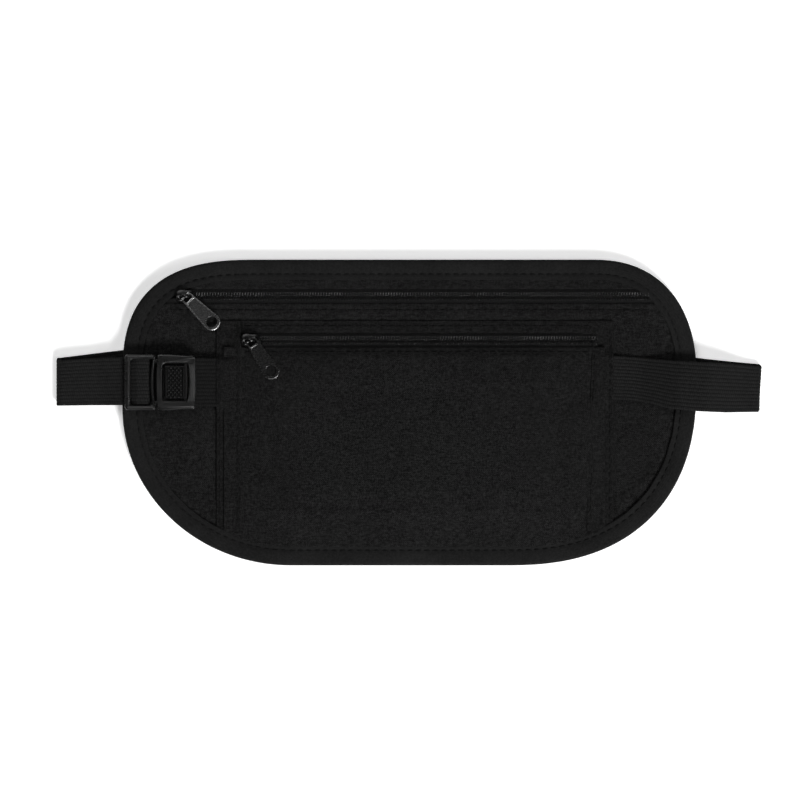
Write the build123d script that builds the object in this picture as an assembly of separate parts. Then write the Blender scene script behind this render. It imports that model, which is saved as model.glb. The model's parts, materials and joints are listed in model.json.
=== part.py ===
"""Flat travel money belt: a two-compartment pouch on an elastic waist strap.

The pouch lies face up. X runs along the belt, Y runs up the pouch and Z is its thickness, all in mm.
The strap is folded behind the pouch, and its end carries the plug half of a press-release buckle.
"""

import math
import os

from build123d import *

os.makedirs("parts", exist_ok=True)

# ---- pouch outline ----
POUCH_W = 265.5
POUCH_H = 141.4
TOP_CORNER_R = 45.0
BOTTOM_CORNER_R = 75.0
TOP_BOW_DEG = 2.0  # slope of the bowed top edge where it meets its corners
BOTTOM_BOW_DEG = 2.4
BINDING_W = 9.6
BINDING_T = 0.5

# ---- layers, by height above the table ----
STRAP_T = 1.2
LAYER_GAP = 0.1
PLY_GAP = 0.05  # between layers of cloth
BACK_T = 0.6
BACK_PAD_T = 1.85  # the back panel's middle is padded mesh
BACK_FLAT_Z = 2.6  # underside of the back panel where it lies over the strap
RIM_Z = 2.55  # underside of the bound edge
BACK_RIM_Z = RIM_Z + BINDING_T + PLY_GAP
PANEL_T = 0.8
FRONT_RIM_Z = 4.55
FRONT_CROWN = 1.5  # how far the front panel's middle stands above its edges
FACING_T = 0.5
FACING_Z = FRONT_RIM_Z + PANEL_T + PLY_GAP
BINDING_TOP_Z = FACING_Z + FACING_T + PLY_GAP
POCKET_RIM_Z = FRONT_RIM_Z + PANEL_T + PLY_GAP
POCKET_CROWN = 5.7

# ---- how the panels swell: x span, y span and corner radius ----
BELLY_MOUTH = ((-86, 86), (-57, 8), 22)
BELLY_FLOOR = ((-74, 74), (-47, -2), 14)
FRONT_CROWN_BASE = ((-84, 84), (-57, 20), 20)
FRONT_CROWN_TOP = ((-72, 72), (-48, 10), 14)
POCKET_BASE_Y = (-62, 46)
POCKET_FLAT_Y = (-44, -2)
POCKET_FLAT_HALF_W = 62
POCKET_CORNER_R = 6

# ---- zips: a coil chain on two tapes ----
TAPE_T = 0.5
COIL_H = 1.6
COIL_W = 2.05
CHAIN_GAP = 0.05  # half the gap between the two coil rows
TAPE_SETBACK = 0.9  # the tapes stop this far from the chain's middle
TAPE_UNDERLAP = 5.0
TOP_ZIP_Y = 53.8
TOP_ZIP_Z = FACING_Z - PLY_GAP - TAPE_T
TOP_COIL_END_X = {"upper": 103.0, "lower": 107.0}
TOP_FOLD_Y = 50.3  # folded top edge of the front panel
TOP_LIP_Y = 44.5  # from here up the front panel lies on the zip's tape
TOP_FACING_Y = 57.3
POCKET_ZIP_Y = 33.5
POCKET_ZIP_Z = 6.3
POCKET_FOLD_Y = 30.0  # folded top edge of the pocket panel
POCKET_STEP_Y = 37.9  # the upper tape steps down to the front panel here
POCKET_TAPE_TOP_Y = 41.2
POCKET_FACING_Y = (37.0, 43.0)

# ---- sliders and pull tabs ----
SLIDER_L = 9.0
SLIDER_W = 6.6
SLIDER_CORNER_R = 2.0
SLIDER_PLATE_T = 0.7
SLIDER_GAP = 0.15
FLANGE_DROP = 0.5
TOP_SLIDER_X = -103.5
POCKET_SLIDER_X = -73.3
POST_INSET = 2.2  # from the slider's nose to its wedge
POST_L = 1.6
POST_W = 1.4
COIL_SETBACK = 0.8  # from the wedge to the first closed turn of the coil
BAIL_R = 1.9
BAIL_LEG_H = 0.9
BAIL_WIRE_R = 0.4
TAB_L = 21.5
TAB_T = 1.0
TAB_NECK_W = 5.2
TAB_END_W = 8.0
TAB_HOLE_R = 2.4
TAB_EYE_W = 3.9
TAB_EYE_L = 2.3
TAB_EYE_BAR = 0.8
EYE_RISE = 1.35  # from the slider's roof to the middle of the tab's eye bar
TOP_TAB_AIM_DEG = -44.5
POCKET_TAB_AIM_DEG = -57.0

# ---- pocket side tapes ----
POCKET_MID_X = 2.25
POCKET_HALF_W = 80.25
POCKET_HEM = 7.75  # how far the pocket panel runs on under its side tapes
SIDE_TAPE_W = 11.4
SIDE_TAPE_TOP_Y = 42.5
SIDE_TAPE_Z = 8.0

# ---- strap ----
STRAP_W = 21.5
STRAP_END_X = 163.3
LEFT_STRAP_Y = 14.0
RIGHT_STRAP_Y = 11.6
RIGHT_LOOP_DEG = -3.9  # the sewn end slopes down towards the fold
STRAP_PEAK_Y = 29.0  # height of the strap's middle behind the pouch's centre
STRAP_JOIN_X = -100.0  # where the stretching end of the strap begins
TAIL_END_X = -15.0
SEWN_OVERHANG = 1.7  # from the pocket panel's hem to the strap's sewn end
LOOP_END_X = 158.0  # from here inwards the folded strap runs straight
RAMP_X = (108.0, 118.0)  # the strap climbs on to the binding here
CREST_END_X = 134.0  # and starts down again here, just past the binding
APPROACH_X = 148.0
RAMP_R = 8.0
FOLD_R = 1.05
RIGHT_FOLD_Z = 2.8
RIGHT_APPROACH_Z = 3.6
INNER_LOOP_X = (-147.0, -135.5)
INNER_LOOP_Z = (3.9, 4.5)
INNER_FOLD_R = 0.95
OUTER_LOOP_X = (-147.0, -134.0)
OUTER_LOOP_Z = (5.2, 5.85)
OUTER_FOLD_R = 2.2
ADJUSTER_TURN_X = -120.2
ADJUSTER_TOP_Z = 9.9
ADJUSTER_FOLD_R = 1.4
ANCHOR_Z = (6.0, 7.25, 10.05)  # sewn layer, layer under the web bar, layer over it
ANCHOR_STEP_X = (-96.5, -94.5)
ANCHOR_DROP_X = (-95.0, -92.0)
ANCHOR_BEND_R = 1.5
ANCHOR_FOLD_R = 1.38

# ---- buckle ----
BURIED = 0.5  # how far a bar runs into the wall that carries it
BUCKLE_Y = 14.0
BUCKLE_H = 25.8
BUCKLE_Z = 6.4
BUCKLE_TOP_Z = 12.0
PLATE_T = 1.2
SOCKET_LEFT_X = -116.6
SOCKET_RIGHT_X = -98.7
SOCKET_FLOOR_END_X = -102.2
WEB_BAR_X = (-100.6, -99.2)
WEB_BAR_Z = (7.9, 9.4)
SOCKET_HALF_CAVITY = 10.9
WINDOW_LEFT_X = -114.3
WINDOW_RIGHT_X = -101.9
WINDOW_H = 16.8
SOCKET_EDGE_R = 1.0
WINDOW_CORNER_R = 1.2
WEB_BAR_R = 0.68
FRAME_LEFT_X = -131.4
FRAME_Z = 7.75
GRIP_BAR_W = 2.5
GRIP_BAR_Z = 10.6
ADJUSTER_BAR_X = (-125.5, -122.0)
ADJUSTER_BAR_T = 1.45
SHOULDER_LEFT_X = -118.7
SHOULDER_RIGHT_X = -116.9
RAIL_W = 1.8
RAIL_CORNER_R = 1.6
ARM_IN_Y = 8.6
ARM_OUT_Y = 10.6
ARM_Z = 8.4
ARM_T = 2.2
ARM_END_X = -102.4
CROSS_BAR_L = 1.6
PAD_LEFT_X = -113.3
PAD_RIGHT_X = -104.2
PAD_H = 14.6
PAD_CORNER_R = 0.6
PAD_Z = 9.0
PAD_TOP_Z = 11.6
PAD_RIDGE_W = 1.6
PAD_RIM_W = 0.8
KNURL_PITCH = 1.35
KNURL_SIZE = 0.8
KNURL_DEPTH = 0.35
KNURL_COLUMNS = 5
KNURL_ROWS = 9


ALL_X = (-POUCH_W, POUCH_W)
ALL_Z = (0.0, 20.0)


def outline(inset):
    """The pouch's outline as a face, moved in all round by inset."""
    half_w, half_h = POUCH_W / 2 - inset, POUCH_H / 2 - inset

    def corner(radius, bow_deg):
        bow = math.radians(bow_deg)
        r = radius - inset
        x_end = half_w - r + r * math.sin(bow)
        y_centre = half_h - r * math.cos(bow) - x_end * math.tan(bow / 2)
        return r, x_end, y_centre, y_centre + r * math.cos(bow)

    r_top, x_top, c_top, y_top = corner(TOP_CORNER_R, TOP_BOW_DEG)
    r_low, x_low, c_low, y_low = corner(BOTTOM_CORNER_R, BOTTOM_BOW_DEG)
    diagonal = math.radians(45 - TOP_BOW_DEG / 2)
    low_diagonal = math.radians(45 - BOTTOM_BOW_DEG / 2)

    def mid(sign_x, sign_y, r, centre, angle):
        return (sign_x * (half_w - r + r * math.cos(angle)), sign_y * (centre + r * math.sin(angle)))

    edges = [
        Line((half_w, -c_low), (half_w, c_top)),
        ThreePointArc((half_w, c_top), mid(1, 1, r_top, c_top, diagonal), (x_top, y_top)),
        ThreePointArc((x_top, y_top), (0, half_h), (-x_top, y_top)),
        ThreePointArc((-x_top, y_top), mid(-1, 1, r_top, c_top, diagonal), (-half_w, c_top)),
        Line((-half_w, c_top), (-half_w, -c_low)),
        ThreePointArc((-half_w, -c_low), mid(-1, -1, r_low, c_low, low_diagonal), (-x_low, -y_low)),
        ThreePointArc((-x_low, -y_low), (0, -half_h), (x_low, -y_low)),
        ThreePointArc((x_low, -y_low), mid(1, -1, r_low, c_low, low_diagonal), (half_w, -c_low)),
    ]
    return make_face(edges)


def prism(face, low, high):
    """A face in the XY plane, extruded between two heights."""
    return Pos(0, 0, low) * extrude(face, high - low)


def block(x, y, z):
    """A box from three (low, high) pairs."""
    size = [high - low for low, high in (x, y, z)]
    middle = [(low + high) / 2 for low, high in (x, y, z)]
    return Pos(*middle) * Box(*size)


def rounded_rectangle(x, y, radius):
    middle = ((x[0] + x[1]) / 2, (y[0] + y[1]) / 2)
    return Pos(*middle, 0) * RectangleRounded(x[1] - x[0], y[1] - y[0], radius)


def mound(base, top, low, high):
    """A solid with sloping sides between a base face at low and a top face at high."""
    return loft([Pos(0, 0, low) * base, Pos(0, 0, high) * top], ruled=True)


def ribbon(points, radii, y_middle, width, thickness):
    """A bent strip: a filleted path in the XZ plane, with a thickness, extruded along Y."""
    plane = Plane(origin=(0, y_middle + width / 2, 0), x_dir=(1, 0, 0), z_dir=(0, -1, 0))
    path = FilletPolyline(*points, radius=radii)
    return extrude(plane * trace(path, line_width=thickness), width)


def save(name, shape):
    solids = shape.solids()
    export_step(solids[0] if len(solids) == 1 else Compound(children=list(solids)), f"parts/{name}.step")


# ---- pouch ----


def back_panel():
    """Body-side panel: a bound rim, a flat over the strap, and a padded belly that sags to the table."""
    rim_in = BINDING_W + 4 * PLY_GAP
    flat_in = rim_in + BACK_T
    rim_top = BACK_RIM_Z + BACK_T
    rim = prism(outline(BINDING_T + PLY_GAP), BACK_RIM_Z, rim_top)
    rim -= prism(outline(rim_in), BACK_RIM_Z, rim_top)
    step = prism(outline(rim_in), BACK_FLAT_Z, rim_top) - prism(outline(flat_in), BACK_FLAT_Z, rim_top)
    flat = prism(outline(flat_in), BACK_FLAT_Z, BACK_FLAT_Z + BACK_T)
    mouth = rounded_rectangle(*BELLY_MOUTH)
    floor = rounded_rectangle(*BELLY_FLOOR)
    belly = mound(floor, mouth, 0, BACK_FLAT_Z)
    hollow = mound(floor, mouth, BACK_PAD_T, BACK_FLAT_Z + BACK_T)
    return rim + step + flat + belly - hollow


def front_panel():
    """Front of the main compartment: its folded top edge steps up on to the top zip's tape."""
    plate = prism(outline(BINDING_T + PLY_GAP), FRONT_RIM_Z, FRONT_RIM_Z + PANEL_T)
    plate &= block(ALL_X, (-POUCH_H, TOP_LIP_Y), ALL_Z)
    lip = block(ALL_X, (TOP_LIP_Y - PANEL_T, TOP_LIP_Y), (FRONT_RIM_Z, FACING_Z + FACING_T))
    lip += block(ALL_X, (TOP_LIP_Y - PANEL_T, TOP_FOLD_Y), (FACING_Z, FACING_Z + FACING_T))
    lip &= prism(outline(BINDING_W + 2 * PLY_GAP), *ALL_Z)
    base = rounded_rectangle(*FRONT_CROWN_BASE)
    top = rounded_rectangle(*FRONT_CROWN_TOP)
    crown = mound(base, top, FRONT_RIM_Z + PANEL_T, FRONT_RIM_Z + PANEL_T + FRONT_CROWN)
    hollow = mound(base, top, FRONT_RIM_Z, FRONT_RIM_Z + FRONT_CROWN)
    return plate + lip + crown - hollow


def top_zip_facing():
    """Narrow strip between the top zip and the binding, with a folded lower edge."""
    strip = prism(outline(BINDING_T + PLY_GAP), FACING_Z, FACING_Z + FACING_T)
    return strip & block(ALL_X, (TOP_FACING_Y, POUCH_H), ALL_Z)


def pocket_panel():
    """Outer pocket: a full, sloping panel that ends in a folded edge under the pocket zip."""
    hem = POCKET_HALF_W + POCKET_HEM
    flat = POCKET_FLAT_HALF_W
    base = rounded_rectangle((POCKET_MID_X - hem, POCKET_MID_X + hem), POCKET_BASE_Y, POCKET_CORNER_R)
    top = rounded_rectangle((POCKET_MID_X - flat, POCKET_MID_X + flat), POCKET_FLAT_Y, POCKET_CORNER_R)
    high = POCKET_RIM_Z + POCKET_CROWN
    outer = prism(base, POCKET_RIM_Z, POCKET_RIM_Z + PANEL_T)
    outer += mound(base, top, POCKET_RIM_Z + PANEL_T, high + PANEL_T)
    shell = outer - mound(base, top, POCKET_RIM_Z, high)
    within = prism(outline(BINDING_W + 2 * PLY_GAP), *ALL_Z)
    return shell & within & block(ALL_X, (-POUCH_H, POCKET_FOLD_Y), ALL_Z)


def edge_binding():
    """Tape folded round the whole edge: a lower ply, an upper ply and the fold between them."""
    top = BINDING_TOP_Z + BINDING_T
    ring = prism(outline(0), RIM_Z, top) - prism(outline(BINDING_W), RIM_Z, top)
    return ring - prism(outline(BINDING_T), RIM_Z + BINDING_T, BINDING_TOP_Z)


def pocket_side_tape(side):
    """Cover tape down one side of the pocket, over the zip's end and the strap's sewn end."""
    inner = POCKET_MID_X + side * POCKET_HALF_W
    x = sorted((inner, inner + side * SIDE_TAPE_W))
    tape = block(x, (-POUCH_H, SIDE_TAPE_TOP_Y), (SIDE_TAPE_Z, SIDE_TAPE_Z + BINDING_T))
    return tape & prism(outline(BINDING_W + 2 * PLY_GAP), *ALL_Z)


# ---- zips ----


def top_zip_tape(upper):
    """Half of the top zip's tape: its ends, and the upper half's edge, lie under the binding."""
    if upper:
        y = (TOP_ZIP_Y + TAPE_SETBACK, POUCH_H)
    else:
        y = (TOP_FOLD_Y - TAPE_UNDERLAP, TOP_ZIP_Y - TAPE_SETBACK)
    z = (TOP_ZIP_Z, TOP_ZIP_Z + TAPE_T)
    return block(ALL_X, y, z) & prism(outline(BINDING_T + 2 * PLY_GAP), *ALL_Z)


def stepped_strip(x, y, step_y, high_z, low_z, thickness):
    """A strip along X that lies at high_z up to step_y, and at low_z beyond it."""
    flat = block(x, (y[0], step_y), (high_z, high_z + thickness))
    wall = block(x, (step_y - thickness, step_y), (low_z, high_z + thickness))
    return flat + wall + block(x, (step_y - thickness, y[1]), (low_z, low_z + thickness))


def pocket_zip_tape(upper):
    """Half of the pocket zip's tape: the upper half steps down to the front panel."""
    x = (POCKET_MID_X - POCKET_HALF_W + PLY_GAP, POCKET_MID_X + POCKET_HALF_W - PLY_GAP)
    if upper:
        y = (POCKET_ZIP_Y + TAPE_SETBACK, POCKET_TAPE_TOP_Y)
        return stepped_strip(x, y, POCKET_STEP_Y, POCKET_ZIP_Z, POCKET_RIM_Z, TAPE_T)
    y = (POCKET_FOLD_Y - TAPE_UNDERLAP, POCKET_ZIP_Y - TAPE_SETBACK)
    return block(x, y, (POCKET_ZIP_Z, POCKET_ZIP_Z + TAPE_T))


def pocket_zip_facing():
    """Folded strip that covers the upper edge of the pocket zip's tape."""
    x = (POCKET_MID_X - POCKET_HALF_W + PLY_GAP, POCKET_MID_X + POCKET_HALF_W - PLY_GAP)
    lift = TAPE_T + PLY_GAP
    step_y = POCKET_STEP_Y + lift
    return stepped_strip(x, POCKET_FACING_Y, step_y, POCKET_ZIP_Z + lift, POCKET_RIM_Z + lift, FACING_T)


def zip_coil(upper, y, z, slider_x, end_x):
    """One row of a closed coil chain: it starts inside the slider, past its wedge."""
    side = 1 if upper else -1
    edges = sorted((y + side * CHAIN_GAP, y + side * (CHAIN_GAP + COIL_W)))
    start = slider_x - SLIDER_L / 2 + POST_INSET + POST_L + COIL_SETBACK
    return block((start, end_x), edges, (z + TAPE_T, z + TAPE_T + COIL_H))


def slider_roof_z(z):
    return z + TAPE_T + COIL_H + SLIDER_GAP + SLIDER_PLATE_T


def zip_slider(x, y, z):
    """Slider body: two plates, side flanges, the wedge between the plates, and the bail."""
    plan = Pos(x, y, 0) * RectangleRounded(SLIDER_L, SLIDER_W, SLIDER_CORNER_R)
    floor_top = z - SLIDER_GAP
    roof_top = slider_roof_z(z)
    roof_low = roof_top - SLIDER_PLATE_T
    body = prism(plan, floor_top - SLIDER_PLATE_T, floor_top) + prism(plan, roof_low, roof_top)
    flange_in = CHAIN_GAP + COIL_W + SLIDER_GAP
    flanges = prism(plan, roof_low - FLANGE_DROP, roof_low)
    flanges -= block((x - SLIDER_L, x + SLIDER_L), (y - flange_in, y + flange_in), ALL_Z)
    post_x = x - SLIDER_L / 2 + POST_INSET
    post_z = (floor_top - SLIDER_PLATE_T / 2, roof_low + SLIDER_PLATE_T / 2)
    post = block((post_x, post_x + POST_L), (y - POST_W / 2, y + POST_W / 2), post_z)
    arch_z = roof_top + BAIL_LEG_H
    arch = Pos(x, y, arch_z) * Rot(90, 0, 0) * Torus(BAIL_R, BAIL_WIRE_R)
    arch &= block((x - SLIDER_L, x + SLIDER_L), (y - SLIDER_W, y + SLIDER_W), (arch_z, arch_z + SLIDER_L))
    sunk = SLIDER_PLATE_T / 2
    for leg_x in (x - BAIL_R, x + BAIL_R):
        arch += Pos(leg_x, y, (roof_top - sunk + arch_z) / 2) * Cylinder(BAIL_WIRE_R, BAIL_LEG_H + sunk)
    return body + flanges + post + arch


def pull_tab(x, y, z, aim_deg):
    """Pull tab from its eye bar at (x, y, z), turned in plan by aim_deg."""
    neck, end = TAB_NECK_W / 2, TAB_END_W / 2
    eye_end = -TAB_EYE_BAR / 2
    tip_centre = TAB_L + eye_end - end
    outer = make_face(
        [
            Line((eye_end, neck), (tip_centre, end)),
            ThreePointArc((tip_centre, end), (tip_centre + end, 0), (tip_centre, -end)),
            Line((tip_centre, -end), (eye_end, -neck)),
            Line((eye_end, -neck), (eye_end, neck)),
        ]
    )
    eye_x = (TAB_EYE_BAR / 2, TAB_EYE_BAR / 2 + TAB_EYE_L)
    tab = prism(outer, -TAB_T / 2, TAB_T / 2)
    tab = fillet(tab.edges().filter_by(Axis.Y).group_by(Axis.X)[0], TAB_T / 3)
    tab -= block(eye_x, (-TAB_EYE_W / 2, TAB_EYE_W / 2), (-TAB_T, TAB_T))
    tab -= Pos(tip_centre, 0, 0) * Cylinder(TAB_HOLE_R, 3 * TAB_T)
    return Pos(x, y, z) * Rot(0, 0, aim_deg) * tab


# ---- strap ----


def strap_leg(x_from, x_to, z_low):
    """A stretch of the strap behind the pouch, which rises towards the pouch's centre line."""

    def middle(x):
        end_y = RIGHT_STRAP_Y if x > 0 else LEFT_STRAP_Y
        return STRAP_PEAK_Y + (end_y - STRAP_PEAK_Y) * abs(x) / LOOP_END_X

    stations = sorted({x_from, x_to} | ({0.0} if x_from < 0 < x_to else set()))
    upper = [(x, middle(x) + STRAP_W / 2) for x in stations]
    lower = [(x, middle(x) - STRAP_W / 2) for x in reversed(stations)]
    return prism(make_face(Polyline(*upper, *lower, close=True)), z_low, z_low + STRAP_T)


def strap():
    """The strap from its sewn end, round the right-hand fold and behind the pouch."""
    half = STRAP_T / 2
    fold_x = STRAP_END_X - half
    over_rim_z = BINDING_TOP_Z + BINDING_T + PLY_GAP + half
    sewn_x = POCKET_MID_X + POCKET_HALF_W + POCKET_HEM + SEWN_OVERHANG
    points = [
        (sewn_x, POCKET_RIM_Z + half),
        (RAMP_X[0], POCKET_RIM_Z + half),
        (RAMP_X[1], over_rim_z),
        (CREST_END_X, over_rim_z),
        (APPROACH_X, RIGHT_APPROACH_Z),
        (fold_x, RIGHT_FOLD_Z),
        (fold_x, half),
        (LOOP_END_X - 3, half),
    ]
    loop = ribbon(points, 4 * [RAMP_R] + 2 * [FOLD_R], 0, STRAP_W, STRAP_T)
    corner_reach = STRAP_W / 2 * math.sin(math.radians(-RIGHT_LOOP_DEG))
    loop = Rot(0, 0, RIGHT_LOOP_DEG) * Pos(-STRAP_END_X, 0, 0) * loop
    loop = Pos(STRAP_END_X - corner_reach, RIGHT_STRAP_Y, 0) * loop
    return loop + strap_leg(STRAP_JOIN_X, LOOP_END_X, 0)


def strap_adjuster_end():
    """The end of the strap that carries the buckle: its left-hand fold, its turn round the web bar,
    and the tail that runs back inside the fold."""
    half = STRAP_T / 2
    tail_z = STRAP_T + LAYER_GAP + half
    outer_x = -STRAP_END_X + half
    inner_x = outer_x + STRAP_T + LAYER_GAP
    under_bar_z = BINDING_TOP_Z + BINDING_T + PLY_GAP + half
    points = [
        (-LOOP_END_X, tail_z),
        (inner_x, tail_z),
        (inner_x, INNER_LOOP_Z[0]),
        (INNER_LOOP_X[0], INNER_LOOP_Z[1]),
        (INNER_LOOP_X[1], under_bar_z),
        (ADJUSTER_TURN_X, under_bar_z),
        (ADJUSTER_TURN_X, ADJUSTER_TOP_Z),
        (OUTER_LOOP_X[1], ADJUSTER_TOP_Z),
        (OUTER_LOOP_X[0], OUTER_LOOP_Z[1]),
        (outer_x, OUTER_LOOP_Z[0]),
        (outer_x, half),
        (-LOOP_END_X, half),
    ]
    ramps = 2 * [RAMP_R]
    radii = 2 * [INNER_FOLD_R] + ramps + 2 * [ADJUSTER_FOLD_R] + ramps + 2 * [OUTER_FOLD_R]
    loop = ribbon(points, radii, LEFT_STRAP_Y, STRAP_W, STRAP_T)
    under = strap_leg(-LOOP_END_X, STRAP_JOIN_X, 0)
    tail = strap_leg(-LOOP_END_X, TAIL_END_X, STRAP_T + LAYER_GAP)
    return loop + under + tail


def anchor_webbing():
    """Short doubled webbing from the pocket's side tape round the socket's web bar."""
    sewn_x = POCKET_MID_X - POCKET_HALF_W - POCKET_HEM - SEWN_OVERHANG
    turn_x = WEB_BAR_X[0] - PLY_GAP - STRAP_T / 2
    sewn_z, low_z, high_z = ANCHOR_Z
    points = [
        (sewn_x, sewn_z),
        (ANCHOR_STEP_X[1], sewn_z),
        (ANCHOR_STEP_X[0], low_z),
        (turn_x, low_z),
        (turn_x, high_z),
        (ANCHOR_DROP_X[0], high_z),
        (ANCHOR_DROP_X[1], low_z),
        (sewn_x, low_z),
    ]
    radii = 2 * [ANCHOR_BEND_R] + 2 * [ANCHOR_FOLD_R] + 2 * [ANCHOR_BEND_R]
    return ribbon(points, radii, BUCKLE_Y, STRAP_W, STRAP_T)


# ---- buckle ----


def across(half):
    """The buckle's Y span for a half width."""
    return (BUCKLE_Y - half, BUCKLE_Y + half)


def buckle_socket():
    """Socket half: a flat box with a window for the press pad and a web bar at its sewn end."""
    x = (SOCKET_LEFT_X, SOCKET_RIGHT_X)
    all_x = (SOCKET_LEFT_X - 1, SOCKET_RIGHT_X + 1)
    shell = block(x, across(BUCKLE_H / 2), (BUCKLE_Z, BUCKLE_TOP_Z))
    shell = fillet(shell.edges().filter_by(Axis.X).group_by(Axis.Z)[-1], SOCKET_EDGE_R)
    roof_z = BUCKLE_TOP_Z - PLATE_T
    cavity_y = across(SOCKET_HALF_CAVITY)
    shell -= block(all_x, cavity_y, (BUCKLE_Z + PLATE_T, roof_z))
    shell -= block((SOCKET_FLOOR_END_X, all_x[1]), cavity_y, (0, roof_z))
    window = block((WINDOW_LEFT_X, WINDOW_RIGHT_X), across(WINDOW_H / 2), (roof_z - 1, BUCKLE_TOP_Z + 1))
    shell -= fillet(window.edges().filter_by(Axis.Z), WINDOW_CORNER_R)
    web_bar = block(WEB_BAR_X, across(SOCKET_HALF_CAVITY + BURIED), WEB_BAR_Z)
    return shell + fillet(web_bar.edges().filter_by(Axis.Y), WEB_BAR_R)


def buckle_plug():
    """Plug half: an adjuster frame for the strap, and two arms joined by a cross bar."""
    half = BUCKLE_H / 2
    rail_in = half - RAIL_W
    rails = block((FRAME_LEFT_X, SHOULDER_RIGHT_X), across(half), (FRAME_Z, BUCKLE_TOP_Z))
    rails = fillet(rails.edges().filter_by(Axis.Z).group_by(Axis.X)[0], RAIL_CORNER_R)
    plug = rails - block((FRAME_LEFT_X - 1, SHOULDER_LEFT_X), across(rail_in), ALL_Z)
    grip_x = (FRAME_LEFT_X + 0.4, FRAME_LEFT_X + GRIP_BAR_W)
    plug += block(grip_x, across(rail_in + BURIED), (GRIP_BAR_Z, BUCKLE_TOP_Z))
    plug += block(ADJUSTER_BAR_X, across(rail_in + BURIED), (FRAME_Z, FRAME_Z + ADJUSTER_BAR_T))
    arm_x = (SHOULDER_RIGHT_X - BURIED, ARM_END_X)
    arm_z = (ARM_Z, ARM_Z + ARM_T)
    for side in (-1, 1):
        arm_y = sorted((BUCKLE_Y + side * ARM_IN_Y, BUCKLE_Y + side * ARM_OUT_Y))
        plug += block(arm_x, arm_y, arm_z)
    return plug + block((ARM_END_X - CROSS_BAR_L, ARM_END_X), across(ARM_OUT_Y), arm_z)


def buckle_press_pad():
    """Sprung pad that stands in the socket's window: a plate with a knurled well and a ridge."""
    half = PAD_H / 2
    pad = block((PAD_LEFT_X, PAD_RIGHT_X), across(half), (PAD_Z, PAD_TOP_Z))
    pad = fillet(pad.edges().filter_by(Axis.Z), PAD_CORNER_R)
    well_z = PAD_TOP_Z - KNURL_DEPTH
    well_x = (PAD_LEFT_X + PAD_RIDGE_W, PAD_RIGHT_X - PAD_RIM_W)
    pad -= block(well_x, across(half - PAD_RIM_W), (well_z, PAD_TOP_Z + 1))
    knurls = []
    for i in range(KNURL_COLUMNS):
        for j in range(KNURL_ROWS):
            x = well_x[0] + (i + 0.6) * KNURL_PITCH
            y = BUCKLE_Y + (j - (KNURL_ROWS - 1) / 2) * KNURL_PITCH
            knurls.append(Pos(x, y, well_z) * Rot(0, 0, 45) * Box(KNURL_SIZE, KNURL_SIZE, KNURL_DEPTH))
    return pad + knurls


save("back_panel", back_panel())
save("front_panel", front_panel())
save("pocket_panel", pocket_panel())
save("edge_binding", edge_binding())
save("pocket_side_tape_left", pocket_side_tape(-1))
save("pocket_side_tape_right", pocket_side_tape(1))
save("top_zip_facing", top_zip_facing())
save("pocket_zip_facing", pocket_zip_facing())
pocket_coil_end_x = POCKET_MID_X + POCKET_HALF_W - 4 * PLY_GAP
for half_name in ("upper", "lower"):
    upper = half_name == "upper"
    top_coil = zip_coil(upper, TOP_ZIP_Y, TOP_ZIP_Z, TOP_SLIDER_X, TOP_COIL_END_X[half_name])
    pocket_coil = zip_coil(upper, POCKET_ZIP_Y, POCKET_ZIP_Z, POCKET_SLIDER_X, pocket_coil_end_x)
    save(f"top_zip_tape_{half_name}", top_zip_tape(upper))
    save(f"pocket_zip_tape_{half_name}", pocket_zip_tape(upper))
    save(f"top_zip_coil_{half_name}", top_coil)
    save(f"pocket_zip_coil_{half_name}", pocket_coil)
for name, x, y, z, aim_deg in (
    ("top_zip", TOP_SLIDER_X, TOP_ZIP_Y, TOP_ZIP_Z, TOP_TAB_AIM_DEG),
    ("pocket_zip", POCKET_SLIDER_X, POCKET_ZIP_Y, POCKET_ZIP_Z, POCKET_TAB_AIM_DEG),
):
    save(f"{name}_slider", zip_slider(x, y, z))
    save(f"{name}_pull_tab", pull_tab(x, y, slider_roof_z(z) + EYE_RISE, aim_deg))
save("strap", strap())
save("strap_adjuster_end", strap_adjuster_end())
save("buckle_anchor_webbing", anchor_webbing())
save("buckle_socket", buckle_socket())
save("buckle_plug_frame", buckle_plug())
save("buckle_press_pad", buckle_press_pad())
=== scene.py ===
"""Money belt: a flat black pouch with two zips, on an elastic strap with a press-release buckle.

Shapes are built in millimetres, in the CAD model's frame: X along the belt, Y up the pouch and Z its
thickness.
"""

import json
import math

import bmesh
import bpy
import numpy as np
from mathutils import Matrix, Vector
from mathutils.geometry import tessellate_polygon


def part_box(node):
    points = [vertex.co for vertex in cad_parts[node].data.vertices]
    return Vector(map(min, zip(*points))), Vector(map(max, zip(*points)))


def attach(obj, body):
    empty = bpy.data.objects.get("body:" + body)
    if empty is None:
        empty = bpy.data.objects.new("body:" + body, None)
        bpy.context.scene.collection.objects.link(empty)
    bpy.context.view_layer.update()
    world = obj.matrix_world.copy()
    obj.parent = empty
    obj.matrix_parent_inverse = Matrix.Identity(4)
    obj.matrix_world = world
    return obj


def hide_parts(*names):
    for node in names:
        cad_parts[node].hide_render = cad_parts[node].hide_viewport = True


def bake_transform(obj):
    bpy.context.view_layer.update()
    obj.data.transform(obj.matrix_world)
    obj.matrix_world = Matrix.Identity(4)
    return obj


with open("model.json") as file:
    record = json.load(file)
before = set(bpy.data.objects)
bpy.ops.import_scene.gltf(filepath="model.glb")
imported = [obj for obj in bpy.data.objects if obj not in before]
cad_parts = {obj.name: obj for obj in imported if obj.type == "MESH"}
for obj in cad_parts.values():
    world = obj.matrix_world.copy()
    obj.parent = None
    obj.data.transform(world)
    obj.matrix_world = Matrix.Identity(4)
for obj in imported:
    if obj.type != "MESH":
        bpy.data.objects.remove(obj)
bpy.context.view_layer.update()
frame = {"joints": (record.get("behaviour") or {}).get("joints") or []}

MM = 0.001
UP = np.array([0.0, 0.0, 1.0])


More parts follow.
